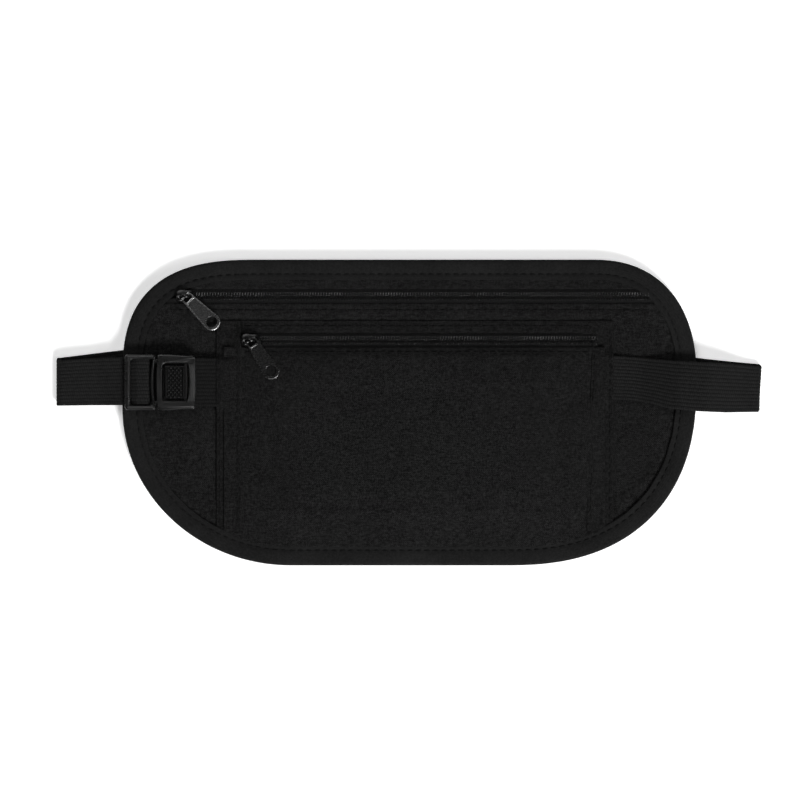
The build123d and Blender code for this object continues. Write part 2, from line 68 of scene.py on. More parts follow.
scene = bpy.context.scene
scene.view_settings.view_transform = "Standard"


def placed(name, data):
    """A new object in the scene."""
    obj = bpy.data.objects.new(name, data)
    scene.collection.objects.link(obj)
    return obj


def cad(node):
    """A CAD node's lowest and highest corner, in mm."""
    low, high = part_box(node)
    return np.array(low) / MM, np.array(high) / MM


# ---- sizes that the CAD model fixes ----
(RIM_LEFT, RIM_BOTTOM, BINDING_LOW_Z), (RIM_RIGHT, RIM_TOP, BINDING_TOP_Z) = cad("edge_binding")
TOP_ZIP_Y = (cad("top_zip_coil_lower")[1][1] + cad("top_zip_coil_upper")[0][1]) / 2
POCKET_ZIP_Y = (cad("pocket_zip_coil_lower")[1][1] + cad("pocket_zip_coil_upper")[0][1]) / 2
TOP_TAPE_TOP_Z = cad("top_zip_tape_lower")[1][2]
POCKET_TAPE_TOP_Z = cad("pocket_zip_tape_lower")[1][2]
TOP_FOLD_Y = cad("front_panel")[1][1]
POCKET_FOLD_Y = cad("pocket_panel")[1][1]
TOP_FACING_Y = cad("top_zip_facing")[0][1]
FRONT_LOW_Z = cad("front_panel")[0][2]
POCKET_PEAK_Z = cad("pocket_panel")[1][2]
BUCKLE_Y = (cad("buckle_socket")[0][1] + cad("buckle_socket")[1][1]) / 2

# ---- the pouch's outline: widest height, straight length and roundness of each quarter ----
WIDEST_Y = 9.0
QUARTERS = {
    (1, 1): (16.0, 85.0, 2.3),
    (-1, 1): (16.0, 70.0, 2.7),
    (-1, -1): (2.0, 55.0, 2.0),
    (1, -1): (14.0, 45.0, 2.4),
}
RIM_POINTS = 960
BINDING_W = 9.4
CLOTH_INSET = 8.4  # how far in from the edge the panels start
STITCH_INSET = 6.9
POCKET_MID_X = 2.25
POCKET_SIDE = 80.25  # from the pocket's middle to its side tapes' outer edges
BELLY = (-86, 86), (-58, 8), 14  # where the back panel sags to the table: across, up and its soft edge
FRONT_SWELL = (-86, 86), (-58, 22), 18  # likewise, where the front panel swells

# ---- cloth ----
PANEL_T = 0.8
TAPE_T = 0.5
STRAP_W = 21.5
STRAP_T = 1.2
RIBS = 13
RIB_PITCH = STRAP_W / RIBS
STITCH_PITCH = 3.9
STITCH_L = 2.7
THREAD_R = 0.21
YARN_STEP = 0.45  # texture distance from one point to the next round a tape's section
SEAM_SHARES = (0.13, 0.87)  # where a side tape's two seams lie, as shares of its width
TOP_HEM = 3.1  # from a fold to its line of stitches
POCKET_HEM = 2.2
FACING_SEAM_Y = 39.8
RIGHT_STRAP_Y = 16.2  # middle of the strap where it is sewn under the right-hand tape


# ---- meshes ----


def grid_faces(rows, columns, around=False, along=False):
    """Quads of a grid of points; around joins its last column to its first, along its last row."""
    r, c = np.arange(rows if along else rows - 1), np.arange(columns if around else columns - 1)
    r, c = np.meshgrid(r, c, indexing="ij")
    r_next, c_next = (r + 1) % rows, (c + 1) % columns
    quads = [r * columns + c, r * columns + c_next, r_next * columns + c_next, r_next * columns + c]
    return np.stack(quads, -1).reshape(-1, 4).tolist()


class Shape:
    """Points, faces and texture coordinates of one piece, in mm."""

    def __init__(self):
        self.points, self.uv, self.faces, self.count = [], [], [], 0

    def add(self, points, faces, uv=None):
        points = np.asarray(points, float).reshape(-1, 3)
        self.faces += [[i + self.count for i in face] for face in faces]
        self.points.append(points)
        self.uv.append(points[:, :2] if uv is None else np.asarray(uv, float).reshape(-1, 2))
        self.count += len(points)
        return self

    def move(self, matrix):
        turn, shift = np.array(matrix.to_3x3()), np.array(matrix.to_translation())
        self.points = [p @ turn.T + shift for p in self.points]
        return self

    def piece(self, name, material, slot, body="root", node=None, crisp=False):
        """Makes the piece, and ties it to its CAD body and node; slot is not used."""
        mesh = bpy.data.meshes.new(name)
        mesh.from_pydata((np.concatenate(self.points) * MM).tolist(), [], self.faces)
        corners = np.zeros(len(mesh.loops), int)
        mesh.loops.foreach_get("vertex_index", corners)
        layer = mesh.uv_layers.new(name="UVMap")
        layer.data.foreach_set("uv", np.concatenate(self.uv)[corners].ravel())
        bm = bmesh.new()
        bm.from_mesh(mesh)
        bmesh.ops.recalc_face_normals(bm, faces=bm.faces)
        bm.to_mesh(mesh)
        bm.free()
        mesh.polygons.foreach_set("use_smooth", [True] * len(mesh.polygons))
        mesh.materials.append(material)
        obj = placed(name, mesh)
        if crisp:
            mesh.set_sharp_from_angle(angle=math.radians(50))
            obj.modifiers.new("normals", "WEIGHTED_NORMAL").keep_sharp = True
        if body:
            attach(obj, body)
        if node:
            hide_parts(node)
        return obj


def swept(sections, around=False):
    """Closed sections joined in a row, and capped at both ends unless they come round again."""
    count, size = sections.shape[:2]
    faces = grid_faces(count, size, around=True, along=around)
    if not around:
        faces += [list(range(size)), list(range((count - 1) * size, count * size))]
    return sections, faces


def unit(v):
    return v / np.maximum(np.linalg.norm(v, axis=-1, keepdims=True), 1e-9)


def slab(grid, thickness):
    """Closed sections of a cloth under a grid of points, with rounded long edges."""
    low = grid - UP * thickness
    first = (grid[:, :1] + low[:, :1]) / 2 + unit(grid[:, :1] - grid[:, 1:2]) * thickness / 2
    last = (grid[:, -1:] + low[:, -1:]) / 2 + unit(grid[:, -1:] - grid[:, -2:-1]) * thickness / 2
    return np.concatenate([first, grid, last, low[:, ::-1]], axis=1)


def tube(line, radius, reference, sides=8):
    """A round wire along a line of points; radius may differ from point to point."""
    line = np.asarray(line, float)
    along = unit(np.gradient(line, axis=0))
    side = unit(np.cross(along, reference))
    rise = np.cross(side, along)
    radius = np.broadcast_to(radius, len(line))[:, None, None]
    angle = np.linspace(0, math.tau, sides, endpoint=False)
    spokes = np.cos(angle)[None, :, None] * side[:, None] + np.sin(angle)[None, :, None] * rise[:, None]
    return swept(line[:, None] + spokes * radius)


def rounded_loop(x, y, radius, bow=(0.0, 0.0)):
    """Anticlockwise rounded rectangle; bow pushes its left and right sides outwards."""
    turns = np.linspace(0, math.pi / 2, 7)
    points = []
    left, right, low, high = x[0] + radius, x[1] - radius, y[0] + radius, y[1] - radius
    for i, (cx, cy) in enumerate([(right, high), (left, high), (left, low), (right, low)]):
        arc = turns + i * math.pi / 2
        points.append(np.c_[cx + radius * np.cos(arc), cy + radius * np.sin(arc)])
    loop = []
    for arc, following in zip(points, points[1:] + points[:1]):
        loop.append(arc)
        loop.append(arc[-1] + (following[0] - arc[-1]) * np.linspace(0, 1, 10)[1:-1, None])
    loop = np.concatenate(loop)
    middle, half = (y[0] + y[1]) / 2, (y[1] - y[0]) / 2
    share = 1 - ((loop[:, 1] - middle) / half) ** 2
    right = loop[:, 0] > (x[0] + x[1]) / 2
    loop[:, 0] += np.where(right, bow[1], -bow[0]) * share
    return loop


def circle(centre, radius, count=28):
    angle = np.linspace(0, math.tau, count, endpoint=False)
    return np.c_[centre[0] + radius * np.cos(angle), centre[1] + radius * np.sin(angle)]


def moved_in(loop, inset):
    """A loop moved towards the side on its left."""
    ahead = unit(np.roll(loop, -1, 0) - np.roll(loop, 1, 0))
    return loop + np.c_[-ahead[:, 1], ahead[:, 0]] * inset


def plate(shape, outer, holes, low, high, bevel):
    """Adds a flat plate with rounded edges, from an anticlockwise outline and anticlockwise holes."""
    turns = np.linspace(0, math.pi / 2, 5)
    rounding = [(bevel * (1 - math.sin(a)), bevel * (1 - math.cos(a))) for a in turns]
    levels = [(inset, low + rise) for inset, rise in rounding]
    levels += [(inset, high - rise) for inset, rise in reversed(rounding)]
    rims = {0: [], len(levels) - 1: []}
    start = shape.count
    for loop in [outer] + [hole[::-1] for hole in holes]:
        rings = np.array([np.c_[moved_in(loop, inset), np.full(len(loop), z)] for inset, z in levels])
        base = shape.count - start
        for level in rims:
            rims[level].append([(base + level * len(loop) + i, rings[level, i]) for i in range(len(loop))])
        shape.add(rings, grid_faces(len(levels), len(loop), around=True))
    for rim in rims.values():
        triangles = tessellate_polygon([[Vector(point) for _, point in loop] for loop in rim])
        index = [i + start for loop in rim for i, _ in loop]
        shape.faces += [[index[i] for i in triangle] for triangle in triangles]
    return shape


def dome(shape, loop, levels):
    """Adds a solid of scaled copies of one loop; each level is (scale, z)."""
    centre = (loop.min(0) + loop.max(0)) / 2
    rings = [np.c_[centre + (loop - centre) * scale, np.full(len(loop), z)] for scale, z in levels]
    return shape.add(*swept(np.array(rings)))


def box(shape, x, y, z, bevel, radius=None, bow=(0.0, 0.0)):
    radius = bevel if radius is None else radius
    return plate(shape, rounded_loop(x, y, max(radius, bevel + 0.05), bow), [], z[0], z[1], bevel)


def smoothstep(value, low, high):
    t = np.clip((value - low) / (high - low), 0, 1)
    return t * t * (3 - 2 * t)


def ripples(x, y, length, seed):
    """Gentle random waves about as long as length, from about -1 to 1."""
    rng = np.random.default_rng(seed)
    total = np.zeros(np.broadcast(x, y).shape)
    for _ in range(12):
        heading, phase = rng.uniform(0, math.tau, 2)
        k = math.tau / (length * rng.uniform(0.7, 1.6))
        total += np.sin(k * (x * math.cos(heading) + y * math.sin(heading)) + phase)
    return total / 4


# ---- the pouch's rim ----


def rim_curve():
    """The pouch's edge, anticlockwise and evenly spaced, with its outward normals and its length."""
    halves = {1: (RIM_RIGHT, RIM_TOP), -1: (RIM_LEFT, RIM_BOTTOM)}
    turn = np.linspace(0, math.pi / 2, 300)
    lines = []
    for (side, top), (mid_y, flat, power) in QUARTERS.items():
        x = side * flat + (halves[side][0] - side * flat) * np.cos(turn) ** (2 / power)
        y = mid_y + (halves[top][1] - mid_y) * np.sin(turn) ** (2 / power)
        line = np.c_[x, y]
        lines.append(line if side * top > 0 else line[::-1])
    line = np.concatenate(lines + [lines[0][:1]])
    line = line[np.r_[True, np.linalg.norm(np.diff(line, axis=0), axis=1) > 1e-6]]
    for _ in range(2):
        reach = np.r_[0, np.cumsum(np.linalg.norm(np.diff(line, axis=0), axis=1))]
        at = np.linspace(0, reach[-1], RIM_POINTS + 1)
        line = np.c_[np.interp(at, reach, line[:, 0]), np.interp(at, reach, line[:, 1])]
    rim = line[:-1]
    for _ in range(12):
        rim = (np.roll(rim, 1, 0) + 2 * rim + np.roll(rim, -1, 0)) / 4
    ahead = unit(np.roll(rim, -1, 0) - np.roll(rim, 1, 0))
    return rim, np.c_[ahead[:, 1], -ahead[:, 0]], reach[-1]


RIM, RIM_OUT, RIM_LENGTH = rim_curve()


def rim_y(x, inset, top):
    """Height of the rim's top or bottom edge, moved in, at x."""
    line = RIM - RIM_OUT * inset
    line = line[line[:, 1] > WIDEST_Y] if top else line[line[:, 1] < WIDEST_Y]
    line = line[np.argsort(line[:, 0])]
    return np.interp(x, line[:, 0], line[:, 1])


def rim_x(y, inset, right):
    """Where the rim's right or left edge, moved in, is at height y."""
    line = RIM - RIM_OUT * inset
    line = line[line[:, 0] > 0] if right else line[line[:, 0] < 0]
    line = line[np.argsort(line[:, 1])]
    return np.interp(y, line[:, 1], line[:, 0])


def rim_ends(y, inset):
    return rim_x(y, inset, False), rim_x(y, inset, True)


def columns(low, high, count):
    """Column places between two ends, denser towards the ends."""
    t = np.linspace(0, math.pi, count)
    even = np.linspace(0, 1, count)
    return low + (high - low) * (0.5 * even + 0.25 * (1 - np.cos(t)))


def clothed(xs, low, high, height, rows):
    """Points of a cloth: columns at xs, with rows evenly from its low edge to its high edge."""
    share = np.linspace(0, 1, rows)
    low, high = np.broadcast_to(low, xs.shape), np.broadcast_to(high, xs.shape)
    y = low[:, None] + (high - low)[:, None] * share
    x = np.repeat(xs[:, None], rows, 1)
    return np.stack([x, y, height(x, y)], -1)


# ---- materials ----


class Tree:
    """A node tree, with short calls to add and link its nodes."""

    def __init__(self, owner, last):
        owner.use_nodes = True
        self.tree = owner.node_tree
        self.shader = self.tree.nodes[last]

    def add(self, kind, *values, out=0, **settings):
        """Adds a node; its inputs are sockets or numbers in order, or None to leave one alone."""
        node = self.tree.nodes.new("ShaderNode" + kind)
        for key, value in settings.items():
            setattr(node, key, value)
        self.set(node, enumerate(values))
        return node.outputs[out]

    def set(self, node, inputs):
        """Links or sets inputs of a node, given as (number or name, socket or value)."""
        for key, value in inputs:
            if isinstance(value, bpy.types.NodeSocket):
                self.tree.links.new(value, node.inputs[key])
            elif value is not None:
                node.inputs[key].default_value = value


class Nodes(Tree):
    """The nodes of a new material."""

    def __init__(self, name, roughness, specular, **constants):
        self.material = bpy.data.materials.new(name)
        super().__init__(self.material, "Principled BSDF")
        constants.update(Roughness=roughness, Specular_IOR_Level=specular)
        self.set(self.shader, ((key.replace("_", " "), value) for key, value in constants.items()))

    def math(self, operation, *values):
        return self.add("Math", *values, operation=operation)

    def plus(self, *values):
        return self.math("ADD", *values)

    def times(self, *values):
        return self.math("MULTIPLY", *values)

    def axes(self, vector):
        """A vector's first two coordinates."""
        return [self.add("SeparateXYZ", vector, out=axis) for axis in (0, 1)]

    def stretched(self, vector, x, y, z=1.0):
        return self.add("VectorMath", vector, (x, y, z), operation="MULTIPLY")

    def place(self):
        """Where a point is on the piece, in mm."""
        return self.stretched(self.add("TexCoord", out=3), 1000, 1000, 1000)

    def along(self):
        """The two texture coordinates: on a strip, in mm along it and across it."""
        return self.axes(self.add("UVMap"))

    def noise(self, vector, scale, detail=3.0, roughness=0.6):
        return self.add("TexNoise", vector, None, scale, detail, roughness)

    def ramp(self, factor, low, high, dark, light):
        """A grey from dark to light as factor goes from low to high."""
        colour = self.add("ValToRGB", factor)
        first, last = colour.node.color_ramp.elements
        first.position, last.position = low, high
        first.color, last.color = (dark, dark, dark, 1), (light, light, light, 1)
        return colour

    def spread(self, factor, low, high, out_low, out_high):
        """A number from out_low to out_high as factor goes from low to high."""
        return self.add("MapRange", factor, low, high, out_low, out_high)

    def waves(self, coordinate, pitch):
        """A sine along one coordinate, from -1 to 1."""
        return self.math("SINE", self.times(coordinate, math.tau / pitch))

    def finish(self, colour, height, depth_mm, strength, roughness=None):
        """Joins the colour, the bump and, if given, the roughness to the shader."""
        bump = self.add("Bump", strength, depth_mm * MM, None, height)
        self.set(self.shader, (("Normal", bump), ("Base Color", colour), ("Roughness", roughness)))
        return self.material


def woven(name, dark, light, pitch, speckle_mm, depth):
    """Plain-woven cloth with flecked yarns."""
    n = Nodes(name, 0.92, 0.04, Sheen_Weight=0.012, Sheen_Roughness=0.5)
    place = n.place()
    x, y = n.axes(place)
    weave = n.times(n.waves(x, pitch * 2), n.waves(y, pitch * 2))
    warp = n.noise(n.stretched(place, 1.0, 0.4), 1 / speckle_mm, 3.0, 0.7)
    weft = n.noise(n.stretched(place, 0.3, 1.0), 1 / speckle_mm, 3.0, 0.7)
    over = n.math("GREATER_THAN", weave, 0.0)
    flecks = n.plus(n.times(warp, over), n.times(weft, n.math("SUBTRACT", 1.0, over)))
    patches = n.math("SUBTRACT", n.noise(place, 0.05, 2.0), 0.5)
    colour = n.ramp(n.plus(flecks, n.times(patches, 0.08)), 0.40, 0.66, dark, light)
    height = n.plus(n.times(weave, 0.5), n.times(flecks, 0.9))
    return n.finish(colour, height, depth, 0.9, n.spread(flecks, 0.3, 0.7, 0.97, 0.82))


def taped(name, dark, light, rib, depth):
    """Narrow woven tape: fine ribs across its length."""
    n = Nodes(name, 0.85, 0.05, Sheen_Weight=0.01, Sheen_Roughness=0.45)
    u, v = n.along()
    fuzz = n.noise(n.place(), 1.1, 4.0, 0.7)
    patches = n.noise(n.place(), 0.05, 2.0)
    ribs = n.plus(n.waves(u, rib), n.times(n.waves(v, rib * 0.8), 0.5))
    tone = n.plus(n.times(fuzz, 0.7), n.times(patches, 0.3))
    colour = n.ramp(tone, 0.35, 0.68, dark, light)
    height = n.plus(ribs, n.times(fuzz, 1.2))
    return n.finish(colour, height, depth, 0.8, n.spread(fuzz, 0.3, 0.7, 0.91, 0.77))


def elastic(name, light):
    """Elastic webbing: its ribs are in the mesh, with short crosswise stitches of yarn on them."""
    n = Nodes(name, 0.8, 0.06, Sheen_Weight=0.012, Sheen_Roughness=0.4)
    u, v = n.along()
    offset = n.times(n.math("FLOOR", n.math("DIVIDE", v, RIB_PITCH)), 0.65)
    knit = n.math("ABSOLUTE", n.waves(n.plus(u, offset), 2.1))
    ribs = n.math("ABSOLUTE", n.waves(v, 2 * RIB_PITCH))
    fuzz = n.noise(n.stretched(n.place(), 0.55, 1.0), 1.5, 4.0, 0.75)
    height = n.plus(n.times(knit, 0.5), n.plus(n.times(ribs, 0.7), n.times(fuzz, 0.8)))
    yarn = n.plus(n.times(knit, 0.2), n.times(fuzz, 0.8))
    # The yarn is painted darker in the valleys between the ribs: painted shade.
    tone = n.times(yarn, n.spread(ribs, 0.0, 0.6, 0.72, 1.0))
    return n.finish(n.ramp(tone, 0.26, 0.68, 0.0017, light), height, 0.2, 0.8)


def meshed(name):
    """Padded air mesh: rows of small round holes over foam."""
    n = Nodes(name, 0.9, 0.05, Sheen_Weight=0.015, Sheen_Roughness=0.5)
    place = n.place()
    cells = n.add("TexVoronoi", n.stretched(place, 1.0, 1.15), None, 0.42)
    n.set(cells.node, [("Randomness", 0.12)])
    hole = n.spread(cells, 0.24, 0.4, 0.0, 1.0)
    fuzz = n.noise(place, 1.6, 4.0, 0.7)
    # The holes are painted darker than the yarn around them: painted shade in the holes.
    tone = n.plus(n.times(hole, 0.6), n.times(fuzz, 0.4))
    height = n.plus(hole, n.times(fuzz, 0.35))
    return n.finish(n.ramp(tone, 0.25, 0.8, 0.0025, 0.010), height, 0.45, 0.9)


def moulded(name, base, roughness, grain_mm, depth, specular=0.42):
    """Moulded plastic with a faint grain and slightly worn, paler high spots."""
    n = Nodes(name, roughness, specular)
    place = n.place()
    grain = n.noise(place, 1 / grain_mm, 3.0)
    clouds = n.noise(place, 0.12, 3.0)
    paler_parts = n.spread(n.add("NewGeometry", out=7), 0.50, 0.60, 0.0, 0.5)
    colour = n.ramp(n.plus(n.times(clouds, 0.6), paler_parts), 0.2, 0.9, base * 0.7, base * 1.9)
    gloss = n.spread(clouds, 0.3, 0.7, roughness + 0.07, roughness - 0.06)
    return n.finish(colour, grain, depth, 0.6, gloss)


def coiled(name):
    """Nylon coil: near black, with a painted glint: pale colour painted on its upper row's crests along
    some stretches.
    """
    n = Nodes(name, 0.2, 0.45)
    place = n.place()
    rise, across = n.along()
    # Painted highlight: the glint is painted on the upper part of each turn, part way across the upper row.
    crest = n.spread(n.math("ABSOLUTE", n.math("SUBTRACT", across, 0.6)), 0.08, 0.32, 1.0, 0.0)
    crest = n.times(crest, n.spread(rise, 0.6, 0.95, 0.0, 1.0))
    glint_stretches = n.noise(n.stretched(place, 1.0, 2.2, 0.0), 0.055, 3.0, 0.6)
    painted_glint = n.times(crest, n.spread(glint_stretches, 0.48, 0.66, 0.15, 1.0))
    return n.finish(n.ramp(painted_glint, 0.0, 1.0, 0.0026, 0.085), n.noise(place, 1.7, 3.0), 0.01, 0.6)


def gunmetal(name, dark, light, rimmed=False):
    """Dark plated zinc with a faint casting ripple and paler worn edges; with rimmed, the raised rim is
    painted paler instead, as a painted highlight.
    """
    n = Nodes(name, 0.26, 0.5, Metallic=0.95)
    place = n.place()
    ripple = n.noise(place, 1.1, 4.0, 0.65)
    scratched = n.plus(ripple, n.noise(n.stretched(place, 0.25, 3.0), 1.6, 3.0))
    # With rimmed, the raised rim (texture v of 1) is painted paler: a painted highlight. Otherwise the worn
    # edges are paler.
    if rimmed:
        paler_parts = n.times(n.along()[1], 0.8)
    else:
        paler_parts = n.spread(n.add("NewGeometry", out=7), 0.52, 0.6, 0.0, 0.8)
    colour = n.ramp(n.plus(n.times(ripple, 0.22), paler_parts), 0.05, 0.95, dark, light)
    return n.finish(colour, scratched, 0.006, 0.5, n.spread(scratched, 0.7, 1.3, 0.2, 0.32))


def spun(name):
    """Twisted sewing thread."""
    n = Nodes(name, 0.75, 0.05, Sheen_Weight=0.01, Sheen_Roughness=0.4)
    place = n.place()
    twist = n.waves(n.plus(*n.axes(place)), 0.42)
    return n.finish(n.ramp(n.noise(place, 3.0, 3.0), 0.3, 0.7, 0.004, 0.009), twist, 0.06, 0.8)


SHELL = woven("shell_cloth", 0.0025, 0.0165, 0.45, 0.7, 0.2)
TAPE_CLOTH = woven("side_tape_cloth", 0.0024, 0.0145, 0.45, 0.6, 0.16)
BACK = meshed("back_mesh")
BINDING = taped("binding_tape", 0.0058, 0.0134, 0.62, 0.06)
ZIP_TAPE = taped("zip_tape", 0.006, 0.013, 0.8, 0.08)
COIL = coiled("zip_coil")
# The top zip's tab has paler metal than the pocket zip's.
TAB_METAL = {
    "top_zip": gunmetal("paler_tab_metal", 0.08, 0.3, rimmed=True),
    "pocket_zip": gunmetal("darker_tab_metal", 0.065, 0.085, rimmed=True),
}
SLIDER_METAL = gunmetal("dark_slider_metal", 0.010, 0.08)
ELASTIC = elastic("elastic_webbing", 0.0132)
# A darker copy of the strap's elastic for the anchor: painted shade beside the buckle's socket.
ANCHOR_WEBBING_SHADED = elastic("anchor_webbing", 0.0085)
PLASTIC = moulded("black_plastic", 0.0028, 0.3, 0.35, 0.02)
PAD_PLASTIC = moulded("ribbed_plastic", 0.0010, 0.34, 0.3, 0.03, 0.17)
THREAD = spun("thread")


# ---- heights of the cloth over the table ----


def crown(x, y, across, up, edge):
    """A smooth swell, 1 in the middle of a rounded rectangle and 0 outside it."""
    mid_x, mid_y = (across[0] + across[1]) / 2, (up[0] + up[1]) / 2
    dx = np.maximum(np.abs(x - mid_x) - (across[1] - across[0]) / 2 + edge, 0) / edge
    dy = np.maximum(np.abs(y - mid_y) - (up[1] - up[0]) / 2 + edge, 0) / edge
    return 1 - smoothstep(np.hypot(dx, dy), 0, 1)


def front_z(x, y):
    """Top of the front panel: it lies flat, swells a little, and steps up on to the zip's tape."""
    swell = 1.5 * crown(x, y, *FRONT_SWELL)
    step = (TAPE_T + 0.05) * smoothstep(y, 41.5, 45.5)
    return FRONT_LOW_Z + PANEL_T + swell + step + 0.12 * ripples(x, y, 34, 3) * smoothstep(44 - y, 0, 8)


def pocket_z(x, y):
    """Top of the pocket panel: a full swell that falls to its hems."""
    base = FRONT_LOW_Z + PANEL_T + 0.85
    side = 1 - smoothstep(np.abs(x - POCKET_MID_X), 56, 96)
    lower = smoothstep(y, -66, -34)
    upper = 1 - smoothstep(y, -8, 66)
    swell = (POCKET_PEAK_Z - base) * side * lower * upper
    on_tape = POCKET_TAPE_TOP_Z + PANEL_T + 0.06
    lowest = base + (on_tape - base) * smoothstep(y, POCKET_FOLD_Y - 7, POCKET_FOLD_Y - 2)
    return np.maximum(base + swell - 1.1 * smoothstep(y, POCKET_FOLD_Y - 4.5, POCKET_FOLD_Y + 0.4), lowest)


def tape_z(x, y):
    """Top of the pocket's side tapes: over the panel's hem, and over a strap's sewn end."""
    outer = np.abs(x - POCKET_MID_X) - POCKET_SIDE
    lifted = 1 - smoothstep(np.abs(y - np.where(x < 0, BUCKLE_Y, RIGHT_STRAP_Y)), 9.5, 13.5)
    on_strap = np.where(x < 0, 8.35, 7.45)
    on_panel = front_z(x, y) + TAPE_T + 0.12
    outside = on_panel + np.maximum(on_strap - on_panel, 0) * lifted
    inside = np.clip(pocket_z(x, y) + 0.5, on_panel, 8.3)
    inside = inside + (on_panel + 0.2 - inside) * smoothstep(y, 34, 42)
    return inside + (outside - inside) * smoothstep(outer, -1, 7)


# ---- stitches ----


def thread_run(shape, line, lift=0.1, pitch=STITCH_PITCH, length=STITCH_L, up=UP, phase=0.3):
    """Adds stitches along a line of points: short threads that dive into the cloth at both ends."""
    line = np.asarray(line, float)
    reach = np.r_[0, np.cumsum(np.linalg.norm(np.diff(line, axis=0), axis=1))]
    shares = np.array([0.0, 0.07, 0.25, 0.5, 0.75, 0.93, 1.0])
    rises = np.array([-0.55, -0.2, 0.75, 1.0, 0.75, -0.2, -0.55]) * 0.26 + lift
    for start in np.arange(phase * pitch, reach[-1] - length, pitch):
        at = start + shares * length
        points = np.stack([np.interp(at, reach, line[:, i]) for i in range(3)], -1)
        shape.add(*tube(points + up * rises[:, None], THREAD_R * np.r_[0.6, 1, 1, 1, 1, 1, 0.6], up, 6))
    return shape


# ---- pouch cloth ----

SIM_SCALE = 10.0  # the cloth is simulated ten times life size, where the solver is steadier


def settle(grid, loose, pressure, growth, cap):
    """Settles a cloth between its sewn edges by simulation; loose is 0 where pinned and 1 where free."""
    rows, cols = grid.shape[:2]
    mesh = bpy.data.meshes.new("settling")
    mesh.from_pydata((grid.reshape(-1, 3) * MM * SIM_SCALE).tolist(), [], grid_faces(rows, cols))
    obj = placed("settling", mesh)
    pins = obj.vertex_groups.new(name="sewn")
    for index, share in enumerate((1 - loose).ravel().tolist()):
        pins.add([index], share, "REPLACE")
    cloth = obj.modifiers.new("cloth", "CLOTH")
    settings = cloth.settings
    settings.vertex_group_mass = "sewn"
    settings.quality = 6
    settings.bending_stiffness = 0.8
    settings.use_pressure = True
    settings.uniform_pressure_force = pressure
    settings.shrink_min = settings.shrink_max = -growth
    settings.effector_weights.gravity = 0
    cloth.point_cache.frame_end = 30
    for step in range(1, 25):
        scene.frame_set(step)
    settled = obj.evaluated_get(bpy.context.evaluated_depsgraph_get())
    points = np.zeros(rows * cols * 3)
    settled.data.vertices.foreach_get("co", points)
    scene.frame_set(1)
    bpy.data.objects.remove(obj)
    moved = points.reshape(grid.shape) / (MM * SIM_SCALE) - grid
    return grid + cap * np.tanh(moved / cap)


def pinned_margin(grid, margin):
    """0 within a margin, in mm, of a grid's edges, rising to 1 further in."""
    rows, cols = grid.shape[:2]
    mid = grid[rows // 2]
    reach = np.minimum(mid[:, 1] - mid[0, 1], mid[-1, 1] - mid[:, 1])
    side = np.minimum(grid[:, 0, 0] - grid[0, 0, 0], grid[-1, 0, 0] - grid[:, 0, 0])
    return smoothstep(side, margin, 3 * margin)[:, None] * smoothstep(reach, margin, 3 * margin)[None, :]


def sewn(grid, y, depth):
    """Sinks a grid of points along a straight line of sewing."""
    grid[..., 2] -= depth * np.exp(-(((grid[..., 1] - y) / 0.9) ** 2))
    return grid


def make_front_panel():
    xs = columns(*rim_ends(WIDEST_Y, CLOTH_INSET), 260)
    high = np.minimum(rim_y(xs, CLOTH_INSET, True), TOP_FOLD_Y)
    grid = clothed(xs, rim_y(xs, CLOTH_INSET, False), high, front_z, 130)
    return sewn(settle(grid, pinned_margin(grid, 5), 0.4, 0.002, 0.4), TOP_FOLD_Y - TOP_HEM, 0.12)


def make_pocket_panel():
    xs = columns(cad("pocket_panel")[0][0], cad("pocket_panel")[1][0], 250)
    low = np.maximum(rim_y(xs, CLOTH_INSET, False), -62.0)
    grid = clothed(xs, low, POCKET_FOLD_Y, pocket_z, 130)
    return sewn(settle(grid, pinned_margin(grid, 7), 0.8, 0.004, 0.8), POCKET_FOLD_Y - POCKET_HEM, 0.15)


def back_z(x, y):
    """Underside of the back panel: flat over the strap, and sagging to the table below it."""
    belly = crown(x, y, *BELLY)
    return 2.65 - 2.55 * belly + 0.1 * ripples(x, y, 26, 9) * (1 - belly)


def make_back_panel():
    """The back panel: a thin padded field inside a flat margin."""
    xs = columns(*rim_ends(WIDEST_Y, CLOTH_INSET), 240)
    low = clothed(xs, rim_y(xs, CLOTH_INSET, False), rim_y(xs, CLOTH_INSET, True), back_z, 120)
    high = low + UP * (0.6 + 1.2 * crown(low[..., 0], low[..., 1], *BELLY))[..., None]
    first, last = ((low[:, end] + high[:, end]) / 2 for end in (slice(0, 1), slice(-1, None)))
    sections = np.concatenate([first, high, last, low[:, ::-1]], axis=1)
    return Shape().add(*swept(sections)).piece("back_panel_mesh", BACK, "back_fabric", node="back_panel")


def strip_uv(along, sections):
    """Texture coordinates, in mm, of a strip's sections."""
    return np.stack(np.broadcast_arrays(along[:, None], np.arange(sections.shape[1]) * YARN_STEP), -1)


def cloth(node, grid, thickness, material, slot, along=None):
    """Makes the cloth under a grid of points; along gives a tape's texture places."""
    sections = slab(grid, thickness)
    uv = None if along is None else strip_uv(along, sections)
    return Shape().add(*swept(sections), uv).piece(node + "_cloth", material, slot, node=node)


FOLD_Z = FRONT_LOW_Z + PANEL_T + TAPE_T + 0.05
UNDER_TAPE = 4.5  # how much further the pocket zip runs on under the leaning right-hand tape
(FACING_LEFT, FACING_LOW_Y, _), (FACING_RIGHT, FACING_HIGH_Y, FACING_HIGH_Z) = cad("pocket_zip_facing")


def top_facing_z(x, y):
    return FOLD_Z + 0.1 + 0 * y


def pocket_facing_z(x, y):
    slope = np.clip((y - FACING_LOW_Y) / 5.6, 0, 1)
    return FACING_HIGH_Z - 0.45 - 0.85 * slope + 0.05 * ripples(x, y, 9, 5)


front_grid = make_front_panel()
front_panel = cloth("front_panel", front_grid, PANEL_T, SHELL, "shell_fabric")
pocket_grid = make_pocket_panel()
pocket_panel = cloth("pocket_panel", pocket_grid, PANEL_T, SHELL, "shell_fabric")
back_panel = make_back_panel()

